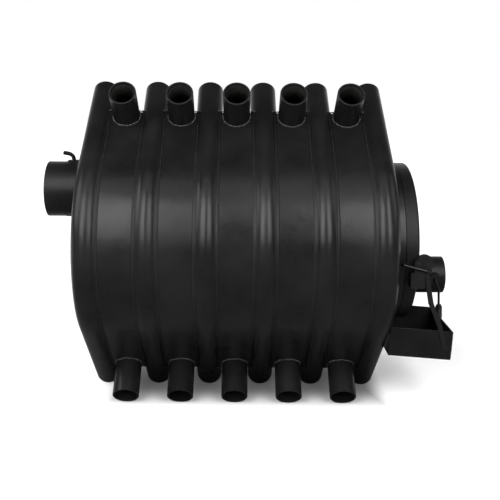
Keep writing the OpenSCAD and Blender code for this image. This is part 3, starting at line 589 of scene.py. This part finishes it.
# %% [markdown]
# The fittings at both ends are given in the steelwork's own drawing, in millimetres, because their sizes and
# places are round numbers there. One function turns a point of that drawing into its place in this scene.

# %% Sizes of the round fittings
# where this scene's own X starts in the drawing
MID_X = 27.6077
AXIS_Z = RING_Z / MM
PLATE_FRONT, PLATE_REAR = FRONT_X / MM + MID_X, REAR_X / MM + MID_X
NECK_R, DOOR_R, DOOR_FACE, DOOR_DISH = 170.5, 169, 370, 5
INLET_R, INLET_Z = 40, -79
THROTTLE_X, THROTTLE_BOSS_R = 432, 12.5
FLUE_R, FLUE_Z = 61, 107
DAMPER_X, DAMPER_BOSS_R = -355, 11.5
WELD_GAP = 0.3


def placed(x, y, z):
    """A point from the drawing, where X starts at the middle pipe and Z at the firebox axis."""
    return ((x - MID_X) * MM, y * MM, (z + AXIS_Z) * MM)


print("end plates at", round(PLATE_REAR, 2), "and", round(PLATE_FRONT, 2), "mm in the drawing")

# %% [markdown]
# Everything round that was welded on has a ring of weld at its root: the door's neck, the flue collar, the
# bosses of both small shafts and the air inlet. Each ring is the line where two surfaces meet. Blender could
# cut the surfaces with each other to find it, but a formula for each ring gives even points and a clean line,
# and the same bead tree runs along it.

# %% Rings of weld
RING_STEPS = 72
ROOT_PROUD, SMALL_PROUD, BOSS_PROUD = 0.8, 0.6, 0.4


def ring(point):
    return [placed(*point(math.radians(360 * i / RING_STEPS))) for i in range(RING_STEPS + 1)]


def round_x(x, z, r):
    return ring(lambda a: (x, r * math.cos(a), z + r * math.sin(a)))


def on_dish(y, z):
    return DOOR_FACE + DOOR_DISH * (1 - (y * y + z * z) / DOOR_R ** 2)


def inlet_root(a):
    r = INLET_R + SMALL_PROUD
    y, z = r * math.cos(a), INLET_Z + r * math.sin(a)
    return on_dish(y, z) + WELD_GAP, y, z


def throttle_root(a):
    r = THROTTLE_BOSS_R + BOSS_PROUD
    up = r * math.sin(a)
    return THROTTLE_X + r * math.cos(a), -math.sqrt(INLET_R ** 2 - up ** 2) - WELD_GAP, INLET_Z + up


def damper_root(a):
    r = DAMPER_BOSS_R + BOSS_PROUD
    aside = r * math.sin(a)
    return DAMPER_X + r * math.cos(a), aside, FLUE_Z + math.sqrt(FLUE_R ** 2 - aside ** 2) + WELD_GAP


neck_ring = round_x(PLATE_FRONT + ROOT_PROUD, 0, NECK_R + ROOT_PROUD)
collar_ring = round_x(PLATE_REAR - ROOT_PROUD, FLUE_Z, FLUE_R + ROOT_PROUD)
weld("neck_root", [neck_ring], "body", radius=2.4, seed=11)
weld("collar_root", [collar_ring], "body", radius=2.4, seed=12)
weld("damper_root", [ring(damper_root)], "body", radius=1.3, step=1.7, wander=0.25, seed=13)
weld("inlet_root", [ring(inlet_root)], "door", radius=1.7, step=2.2, wander=0.3, seed=14)
weld("throttle_root", [ring(throttle_root)], "door", radius=1.3, step=1.7, wander=0.25, seed=15)

# %% [markdown]
# Straight brackets get straight beads in the same way: the stubs of the tray's cleat on the front plate, the
# two ears of the hinge on the neck, the hinge's strap on the door and the foot of the latch's bracket on the
# door's rim.

# %% Short beads at the brackets
STUB_OUT, STUB_BESIDE, STUB_HIGH, STUB_STEPS = 38 * MM, 5.4 * MM, 10 * MM, 5
EAR_THICK, EAR_END, EAR_STEPS = 8, 2 * MM, 6
STRAP_BESIDE, STRAP_FROM, STRAP_UNTIL, STRAP_STEPS = 23.4, 102, 160, 12
FOOT_LOW, FOOT_HIGH, FOOT_BACK, FOOT_FRONT = -64, -32, 351, 364
FOOT_BESIDE, FOOT_STEPS = 0.5, 5

cleat_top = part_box("tray_cleat")[1].z
ear_low, ear_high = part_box("hinge_bracket")
ear_zs = (ear_low.z - BOSS_PROUD * MM, ear_low.z + (EAR_THICK + BOSS_PROUD) * MM,
          ear_high.z - (EAR_THICK + BOSS_PROUD) * MM, ear_high.z + BOSS_PROUD * MM)


def beside_stub(y):
    return [(FRONT_X + BEAD_PROUD, y, z) for z in np.linspace(cleat_top - STUB_HIGH, cleat_top, STUB_STEPS)]


def along_neck(z):
    y = math.sqrt((NECK_R * MM) ** 2 - (z - RING_Z) ** 2) + SMALL_PROUD * MM
    front = min(ear_high.x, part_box("door_neck")[1].x)
    return [(x, y, z) for x in np.linspace(ear_low.x + EAR_END, front - EAR_END, EAR_STEPS)]


def beside_strap(z):
    ys = np.linspace(STRAP_FROM, STRAP_UNTIL, STRAP_STEPS)
    return [placed(on_dish(y, 0) + SMALL_PROUD, y, z) for y in ys]


def beside_foot(z):
    y = -math.sqrt(DOOR_R ** 2 - z ** 2) - FOOT_BESIDE
    return [placed(x, y, z) for x in np.linspace(FOOT_BACK, FOOT_FRONT, FOOT_STEPS)]


stub_lines = [beside_stub(s * STUB_OUT + edge * STUB_BESIDE) for s in (-1, 1) for edge in (-1, 1)]
strap_lines = [beside_strap(s * STRAP_BESIDE) for s in (-1, 1)]
foot_lines = [beside_foot(FOOT_LOW - FOOT_BESIDE), beside_foot(FOOT_HIGH + FOOT_BESIDE)]
body_lines = stub_lines + [along_neck(z) for z in ear_zs]
weld("bracket_beads", body_lines, "body", radius=1.6, step=2.2, wander=0.3, seed=16)
weld("door_beads", strap_lines + foot_lines, "door", radius=1.6, step=2.2, wander=0.3, seed=17)

# %% [markdown]
# The near and the far strips meet at both ridges, and between the pipes they are closed there by a short run
# of weld. The outermost far strips end level with the end plates, so a seam runs inside their edge as well.

# %% Ridge runs and end plates
RIDGE_SUNK = 0.6 * MM
RIDGE_FROM, RIDGE_UNTIL, RIDGE_STEPS = 26, 34, 5
PLATE_R = 218.9 * MM
TOP_RIDGE = RING_Z + STRIP_R / math.cos(TOP_SLOPE) - RIDGE_SUNK
FOOT_RIDGE = RING_Z - STRIP_R / math.cos(FOOT_SLOPE) + RIDGE_SUNK


def ridge_run(x, s, z):
    return [(x + s * d * MM, 0.0, z) for d in np.linspace(RIDGE_FROM, RIDGE_UNTIL, RIDGE_STEPS)]


ridge_runs = [ridge_run(x, s, z) for x in far_xs for s in (-1, 1) for z in (TOP_RIDGE, FOOT_RIDGE)]
plate_runs = [belly_line(x, PLATE_R, "far") for x in (FRONT_X + BEAD_PROUD, REAR_X - BEAD_PROUD)]
weld("ridge_runs", ridge_runs + plate_runs, "body", radius=1.8, step=2.4, wander=0.4, seed=18)

# %% [markdown]
# The pipes are open from end to end, and the paint only reaches a little way in. Behind it the wall is bare,
# dusty steel, which looks lighter than the paint. A thin sleeve just inside each upper mouth carries that
# finish. The feet look black inside, because no light gets up them, so they have none.

# %% Bare walls inside the pipe mouths
DUST_SCALE, STREAK_SCALE = 60, 130
SLEEVE_R, SLEEVE_WALL = 24.8 * MM, 0.3 * MM
SLEEVE_FROM, SLEEVE_LONG, SLEEVE_SIDES = 4 * MM, 70 * MM, 40


def bare_wall(name):
    finish = Finish(name)
    dust = finish.noise(DUST_SCALE, detail=5)
    streak = finish.noise(STREAK_SCALE, detail=3, stretch=(1.0, 0.25, 0.25))
    scale = finish.blend(finish.spread(dust, 0.35, 0.7), (0.0030, 0.0029, 0.0027), (0.0065, 0.0063, 0.0060))
    finish.colour(finish.blend(finish.spread(streak, 0.55, 0.75, 0, 0.5), scale, (0.011, 0.0104, 0.0098)))
    finish.rough(dust, 0.3, 0.7, 0.55, 0.8)
    finish.fix("Specular IOR Level", 0.07)
    finish.bump(streak, 0.0004)
    return finish.material


def sleeve(shape, x, side):
    """One short thin tube inside an upper mouth, closed over both edges."""
    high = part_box(f"{side}_pipe_1")[1]
    way = Vector((0, -SIDE[side] * math.cos(TOP_SLOPE), math.sin(TOP_SLOPE)))
    across = Vector((0, SIDE[side] * math.sin(TOP_SLOPE), math.cos(TOP_SLOPE)))
    wide = Vector((1, 0, 0))
    start = across * RING_R + Vector((x, 0, RING_Z))
    mouth = start + way * ((high.z - PIPE_R * math.cos(TOP_SLOPE) - start.z) / way.z)
    inner = SLEEVE_R - SLEEVE_WALL
    edges = ((SLEEVE_FROM, SLEEVE_R), (SLEEVE_LONG, SLEEVE_R), (SLEEVE_LONG, inner), (SLEEVE_FROM, inner))
    turns = [2 * math.pi * k / SLEEVE_SIDES for k in range(SLEEVE_SIDES)]
    rows = []
    for depth, r in edges:
        deep = mouth - way * depth
        rows.append([shape.verts.new(deep + r * (math.cos(a) * across + math.sin(a) * wide)) for a in turns])
    for a, b in zip(rows, rows[1:] + rows[:1]):
        for k in range(SLEEVE_SIDES):
            shape.faces.new((a[k], a[k - 1], b[k - 1], b[k]))


dusty_steel = bare_wall("dusty_steel")
sleeves = bmesh.new()
for side, xs in (("near", near_xs), ("far", far_xs)):
    for x in xs:
        sleeve(sleeves, x, side)
made("mouth_walls", sleeves, "body", dusty_steel)

# %% [markdown]
# Drawn wire is round and even, so a tube along a line is all it needs. A curve object with a bevel could give
# that, but a Geometry Nodes tree keeps the wire's size a named input and serves every winding of the stove.

# %% The tree that lays wire along a line


def wire_tree():
    tree, given, result = new_tree("round_wire", (("Radius", "Float", 0.001), ("Sides", "Int", 12)))
    add, join = tree.nodes.new, tree.links.new
    to_curve, circle = add("GeometryNodeMeshToCurve"), add("GeometryNodeCurvePrimitiveCircle")
    sweep, smooth = add("GeometryNodeCurveToMesh"), add("GeometryNodeSetShadeSmooth")
    join(given.outputs["Geometry"], to_curve.inputs["Mesh"])
    join(given.outputs["Sides"], circle.inputs["Resolution"])
    join(given.outputs["Radius"], circle.inputs["Radius"])
    join(to_curve.outputs["Curve"], sweep.inputs["Curve"])
    join(circle.outputs["Curve"], sweep.inputs["Profile Curve"])
    sweep.inputs["Fill Caps"].default_value = True
    join(sweep.outputs["Mesh"], smooth.inputs["Geometry"])
    return end_tree(tree, given, result, smooth.outputs["Geometry"])


WIRE_TREE = wire_tree()
SAME_POINT = 0.01 * MM


def wire(name, lines, body, radius, material, sides=12, instead_of=None):
    """Lays round wire along lines, with its radius in millimetres."""
    obj = grown(name, lines, WIRE_TREE, {"Radius": radius * MM, "Sides": sides, "Metal": material})
    shape = bmesh.new()
    shape.from_mesh(obj.data)
    bmesh.ops.remove_doubles(shape, verts=shape.verts, dist=SAME_POINT)
    bmesh.ops.recalc_face_normals(shape, faces=shape.faces)
    shape.to_mesh(obj.data)
    shape.free()
    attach(obj, body)
    if instead_of:
        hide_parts(instead_of)
    print(name, len(obj.data.polygons), "faces")
    return obj


print("wire tree made")

# %% [markdown]
# The throttle's rod is held by a cool grip of wound wire, and a small spring on its shaft keeps it where it
# is set. The route of each winding is the steelwork's own, with more points, so each takes the place of the
# plain one.

# %% Grip and spring
WIRE_STEPS = 28
GRIP_TURNS, GRIP_HIGH, GRIP_END_R, GRIP_MID_R, GRIP_WIRE_R = 12, 33.7, 3.95, 6.35, 1.15
GRIP_FOOT, GRIP_LEAN = (442, -54.2, -166), math.atan2(2, 67)
SPRING_TURNS, SPRING_HIGH, SPRING_R, SPRING_WIRE_R = 4, 9.2, 4.1, 0.8
SPRING_FROM = 41.1


def winding(turns, height, end_r, mid_r):
    """A standing coil that swells from its end radius to its middle one."""
    points = []
    for i in range(turns * WIRE_STEPS + 1):
        t = i / (turns * WIRE_STEPS)
        r = end_r + (mid_r - end_r) * min(1, min(t, 1 - t) * turns / 2)
        a = 2 * math.pi * turns * t
        points.append((r * math.cos(a), r * math.sin(a), height * t))
    return points


def on_rod(x, y, z):
    """A point of the standing grip, leant over and moved to the foot of the throttle's rod."""
    return placed(GRIP_FOOT[0] + x * math.cos(GRIP_LEAN) - z * math.sin(GRIP_LEAN), GRIP_FOOT[1] + y,
                  GRIP_FOOT[2] + x * math.sin(GRIP_LEAN) + z * math.cos(GRIP_LEAN))


grip_route = [on_rod(*point) for point in winding(GRIP_TURNS, GRIP_HIGH, GRIP_END_R, GRIP_MID_R)]
wire("coil_grip", [grip_route], "throttle", GRIP_WIRE_R, dark_wire, instead_of="throttle_grip")
spring_route = [placed(THROTTLE_X + x, SPRING_FROM + z, INLET_Z - y)
                for x, y, z in winding(SPRING_TURNS, SPRING_HIGH, SPRING_R, SPRING_R)]
wire("shaft_spring", [spring_route], "throttle", SPRING_WIRE_R, dark_wire,
     instead_of="throttle_spring")

# %% [markdown]
# The damper's handle is wound with wire as well, because it stands on the hottest end of the stove. The plain
# rod stays, and the wire is laid round its own route, which comes straight up out of the collar and bends
# over to the rear.

# %% The damper's winding
DAMPER_ROD_R, DAMPER_BEND_R, DAMPER_BEND, DAMPER_GRIP = 3, 12, math.radians(80), 13
DAMPER_NECK, WINDING_START, WINDING_END = 4.5, 3.6, 1
WINDING_WIRE, WINDING_PITCH, WINDING_STEPS, WINDING_PLAY = 0.8, 1.9, 20, 0.05
DAMPER_KNEE = FLUE_Z + FLUE_R + DAMPER_NECK
WINDING_FROM = FLUE_Z + FLUE_R + WINDING_START


def handle_point(along):
    """The rod's middle and its turn in side view, at a distance from where the winding starts."""
    rise, arc = DAMPER_KNEE - WINDING_FROM, DAMPER_BEND_R * DAMPER_BEND
    if along < rise:
        return DAMPER_X, WINDING_FROM + along, 0.0
    turned = min(along - rise, arc) / DAMPER_BEND_R
    past = max(0.0, along - rise - arc)
    x = DAMPER_X - DAMPER_BEND_R + DAMPER_BEND_R * math.cos(turned) - past * math.sin(turned)
    z = DAMPER_KNEE + DAMPER_BEND_R * math.sin(turned) + past * math.cos(turned)
    return x, z, turned


def handle_winding():
    length = DAMPER_KNEE - WINDING_FROM + DAMPER_BEND_R * DAMPER_BEND + DAMPER_GRIP - WINDING_END
    steps = int(length / WINDING_PITCH * WINDING_STEPS)
    r = DAMPER_ROD_R + WINDING_WIRE + WINDING_PLAY
    points = []
    for i in range(steps + 1):
        x, z, turned = handle_point(length * i / steps)
        a = 2 * math.pi * i / WINDING_STEPS
        out = r * math.cos(a)
        points.append(placed(x + out * math.cos(turned), r * math.sin(a), z + out * math.sin(turned)))
    return points


wire("damper_winding", [handle_winding()], "damper", WINDING_WIRE, fitting_paint, sides=8)

# %% [markdown]
# The door shuts on a rope of woven glass yarn in its channel. A plain ring would look like rubber, so four
# strands are wound round each other along the channel, and they together take the place of the plain ring.

# %% The woven seal
ROPE_STRANDS, ROPE_TURNS, ROPE_STEPS, ROPE_SIDES = 4, 64, 640, 7
STRAND_SHARE = 0.27
DOOR_WALL, ROPE_INNER_R = 3, 152.3
rope_low, rope_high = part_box("seal_rope")
ROPE_MIDDLE = (rope_low.x + rope_high.x) / 2 / MM + MID_X
ROPE_THICK = (rope_high.x - rope_low.x) / MM
ROPE_OUT = (rope_high.y - rope_low.y) / 2 / MM
ROPE_HALF = (DOOR_R - DOOR_WALL - WELD_GAP - ROPE_INNER_R) / 2
STRAND_R = ROPE_THICK * STRAND_SHARE


def strand(k):
    points = []
    for i in range(ROPE_STEPS + 1):
        a = 2 * math.pi * i / ROPE_STEPS
        b = ROPE_TURNS * a + 2 * math.pi * k / ROPE_STRANDS
        r = ROPE_OUT - ROPE_HALF + (ROPE_HALF - STRAND_R) * math.cos(b)
        x = ROPE_MIDDLE + (ROPE_THICK / 2 - STRAND_R) * math.sin(b)
        points.append(placed(x, r * math.cos(a), r * math.sin(a)))
    return points


strands = [strand(k) for k in range(ROPE_STRANDS)]
wire("woven_seal", strands, "door", STRAND_R, rope_cloth, sides=ROPE_SIDES,
     instead_of="seal_rope")

# %% [markdown]
# The ash tray is folded from sheet. Its rim is turned over into a thin rolled hem, which catches a bright
# line of light in the photograph, and the corners are closed by short vertical beads.

# %% The tray's hem and corners
TRAY_TILT = math.radians(4.2)
CLEAT_OUT, CLEAT_TOP, HOOK_PLAY, HOOK_THICK = 327.5, -180, 1.5, 3.5
TRAY_TURN_X, TRAY_TURN_Z = CLEAT_OUT - HOOK_PLAY, CLEAT_TOP + WELD_GAP
TRAY_FROM = HOOK_PLAY + HOOK_THICK
TRAY_LONG, TRAY_WIDE, TRAY_TOP, TRAY_DEEP = 133, 190, 8, 61
HEM_R, HEM_SUNK, HEM_IN, HEM_SIDES = 1.4, 0.6, 1, 10
HEM_STRAIGHT = 50
CORNER_OUT, CORNER_REAR, CORNER_LOW, CORNER_TOP, CORNER_STEPS = 0.6, 0.2, 3, 12, 12


def tray_point(x, y, z):
    """A point of the level tray, turned down with it about the cleat's top edge."""
    return placed(TRAY_TURN_X + x * math.cos(TRAY_TILT) + z * math.sin(TRAY_TILT), y,
                  TRAY_TURN_Z - x * math.sin(TRAY_TILT) + z * math.cos(TRAY_TILT))


side_y, front, rear = TRAY_WIDE / 2 - HEM_IN, TRAY_FROM + TRAY_LONG - HEM_IN, TRAY_FROM + HEM_IN
hem_places = ((rear, -side_y), (TRAY_FROM + HEM_STRAIGHT, -side_y), (front, -side_y), (front, 0),
              (front, side_y), (rear, side_y))
hem = [tray_point(x, y, TRAY_TOP - HEM_SUNK) for x, y in hem_places]
wire("tray_hem", [hem], "tray", HEM_R, fitting_paint, sides=HEM_SIDES)

corner_zs = np.linspace(TRAY_TOP - TRAY_DEEP + CORNER_LOW, TRAY_TOP - CORNER_TOP, CORNER_STEPS)
corner_lines = [[tray_point(x, y, z) for z in corner_zs]
                for x in (TRAY_FROM + CORNER_REAR, front + CORNER_OUT)
                for y in (-side_y - CORNER_OUT, side_y + CORNER_OUT)]
weld("tray_corners", corner_lines, "tray", radius=1.2, step=2.0, wander=0.3, seed=21)

# %% [markdown]
# The stage is a pale floor that runs out of sight in front of a white backdrop. The camera, anything seen
# through glass and every reflection find that white, but only where the backdrop stands: the photographer's
# side of a studio is dim, and black paint shows it. So the glow is full behind the stove and fades toward the
# camera for reflections. The light that falls on the stove is a separate, lower level, which keeps the shadow
# on the floor.

# %% What a ray finds in the studio
ROOM_LIGHT = 0.30
DIM_SIDE = 0.10
BACKDROP_FROM, BACKDROP_FULL = 0.60, 0.90


def white_share(room, backness):
    """One for rays from the camera or through glass, and for reflections their share of the backdrop."""
    path = room.add("ShaderNodeLightPath")
    mirrored = room.work("MULTIPLY", path.outputs["Is Glossy Ray"], backness)
    direct = room.work("MAXIMUM", path.outputs["Is Camera Ray"], path.outputs["Is Transmission Ray"])
    return room.work("MAXIMUM", direct, mirrored)


class Room(Finish):
    """The world round the stove, built with the same helpers as a finish."""

    def __init__(self, name):
        world = bpy.data.worlds.new(name)
        bpy.context.scene.world = world
        world.use_nodes = True
        self.tree = world.node_tree
        self.sky = self.tree.nodes["Background"]
        self.place = self.add("ShaderNodeTexCoord").outputs["Generated"]


def surroundings():
    room = Room("studio")
    room.sky.inputs["Color"].default_value = (1, 1, 1, 1)
    behind = room.spread(room.apart()["Y"], BACKDROP_FROM, BACKDROP_FULL, DIM_SIDE, 1.0)
    path = room.add("ShaderNodeLightPath")
    level = room.spread(path.outputs["Is Glossy Ray"], 0.0, 1.0, ROOM_LIGHT, 0.0)
    strength = room.work("MAXIMUM", level, white_share(room, behind))
    room.join(strength, room.sky.inputs["Strength"])


surroundings()
print("studio round the stove made")

# %% [markdown]
# The floor glows a little near the stove and fully far away, so that it meets the backdrop without a line.
# Reflections find it darker in front, where a card would lie: that is a painted dark reflection, and no card
# lies there. The softboxes in front would shine in under the belly, but the photograph's light came from
# higher up. So a shadow is painted on the floor there, in its colour and in its glow: a soft rectangle, dark
# at the middle of the stove and gone at the feet.

# %% Floor, with a painted shadow under the stove
FLOOR_HALF = 12.0
# the floor's own colour, the colour of a painted dark reflection in front, and the black at the painted
# shadow's core
FLOOR_COLOUR, DARK_REFLECTION_COLOUR, NO_LIGHT = (0.8, 0.8, 0.8), (0.13, 0.13, 0.13), (0.0, 0.0, 0.0)
GLOW_NEAR, GLOW_STARTS, GLOW_FULL = 0.20, 0.6, 2.2
# where the painted dark reflection fades out in front: reflections see the floor dark there, as if a card lay
# there
DARK_REFLECTION_FROM, DARK_REFLECTION_UNTIL = 0.1, 0.6
# the painted shadow under the stove: its factor at the darkest, then its centre, core and edge on each axis
PAINTED_SHADOW_DEPTH = 0.23
PAINTED_SHADOW_ACROSS = {"X": (0.0, 0.27, 0.325), "Y": (0.08, 0.05, 0.21)}


def painted_floor_shadow(floor, apart):
    """A painted shadow on the floor: a factor from its depth under the stove to one beside it,
    in a soft rectangle, wider than deep.
    """
    sides = []
    for axis, (centre, core, edge) in PAINTED_SHADOW_ACROSS.items():
        off = floor.work("ABSOLUTE", floor.work("SUBTRACT", apart[axis], centre))
        sides.append(floor.spread(off, core, edge, PAINTED_SHADOW_DEPTH, 1.0, curve="SMOOTHSTEP"))
    return floor.work("MAXIMUM", *sides)


def studio_floor():
    floor = Finish("studio_floor")
    floor.fix("Roughness", 0.9)
    floor.fix("Specular IOR Level", 0.0)
    floor.fix("Emission Color", (1, 1, 1, 1))
    apart = floor.apart()
    # the painted shadow: a factor that darkens the floor under the stove
    painted_shadow_tone = painted_floor_shadow(floor, apart)
    in_front = floor.spread(apart["Y"], DARK_REFLECTION_FROM, DARK_REFLECTION_UNTIL, 1.0, 0.0)
    # painted dark reflection: reflections see the floor in front darker, though no card lies there
    reflection_darkened = floor.work("MULTIPLY", floor.add("ShaderNodeLightPath").outputs["Is Glossy Ray"], in_front)
    # under the painted shadow the floor's colour goes toward black
    floor.colour(floor.blend(painted_shadow_tone, NO_LIGHT, floor.blend(reflection_darkened, FLOOR_COLOUR, DARK_REFLECTION_COLOUR)))
    away = floor.add("ShaderNodeVectorMath", operation="LENGTH")
    floor.join(floor.place, away.inputs[0])
    glow = floor.spread(away.outputs["Value"], GLOW_STARTS, GLOW_FULL, GLOW_NEAR, 1.0)
    behind = floor.spread(apart["Y"], 0.0, GLOW_STARTS, DIM_SIDE, 1.0)
    seen = floor.work("MULTIPLY", glow, white_share(floor, behind))
    # the painted shadow darkens the floor's glow as well
    floor.join(floor.work("MULTIPLY", seen, painted_shadow_tone), floor.shader.inputs["Emission Strength"])
    return floor.material


floor_mesh = bpy.data.meshes.new("floor")
floor_corners = [(x * FLOOR_HALF, y * FLOOR_HALF, 0) for x, y in ((-1, -1), (1, -1), (1, 1), (-1, 1))]
floor_mesh.from_pydata(floor_corners, [], [(0, 1, 2, 3)])
floor = bpy.data.objects.new("floor", floor_mesh)
bpy.context.scene.collection.objects.link(floor)
give(floor, studio_floor())
print("floor", 2 * FLOOR_HALF, "m wide")

# %% [markdown]
# The photograph shows one broad gleam along the upper flank, brighter on the left and parted near the middle.
# Two large softboxes in front of the stove, one to each side and both well above it, give that gleam: the
# pipes' round backs pick up each of them once, so every ridge has a bright side and a darker one. A weaker
# box overhead and two beside the stove lift the top and both ends out of the black.

# %% Softboxes
BOX_AWAY = 2.3
# turned right of the camera's side and raised, in degrees; width and height in metres; power in watts
SOFTBOXES = (
    ("left_box", -26, 28.5, (1.1, 1.6), 69),
    ("right_box", 27, 28.5, (1.0, 1.6), 57),
    ("upper_box", 0, 64, (2.6, 0.9), 14),
    ("left_side_box", -74, 26, (1.3, 1.3), 28),
    ("right_side_box", 80, 26, (1.1, 1.3), 9),
)


def softbox(name, turn, rise, size, power):
    """A softbox on a ball round the stove, facing its middle."""
    data = bpy.data.lights.new(name, "AREA")
    data.shape = "RECTANGLE"
    data.size, data.size_y = size
    data.energy = power
    lamp = bpy.data.objects.new(name, data)
    bpy.context.scene.collection.objects.link(lamp)
    turn, rise = math.radians(turn), math.radians(rise)
    toward = Vector((math.sin(turn) * math.cos(rise), -math.cos(turn) * math.cos(rise), math.sin(rise)))
    lamp.location = Vector((0, 0, RING_Z)) + BOX_AWAY * toward
    lamp.rotation_euler = (-toward).to_track_quat("-Z", "Y").to_euler()


for box in SOFTBOXES:
    softbox(*box)
print(len(SOFTBOXES), "softboxes set")

# %% [markdown]
# The view transform turns computed light into the tones of the picture. Blender's usual one softens bright
# parts, which would turn the white backdrop grey, so the plain one is chosen.

# %% The view settings stay plain
bpy.context.scene.view_settings.view_transform = "Standard"
print("view", bpy.context.scene.view_settings.view_transform)
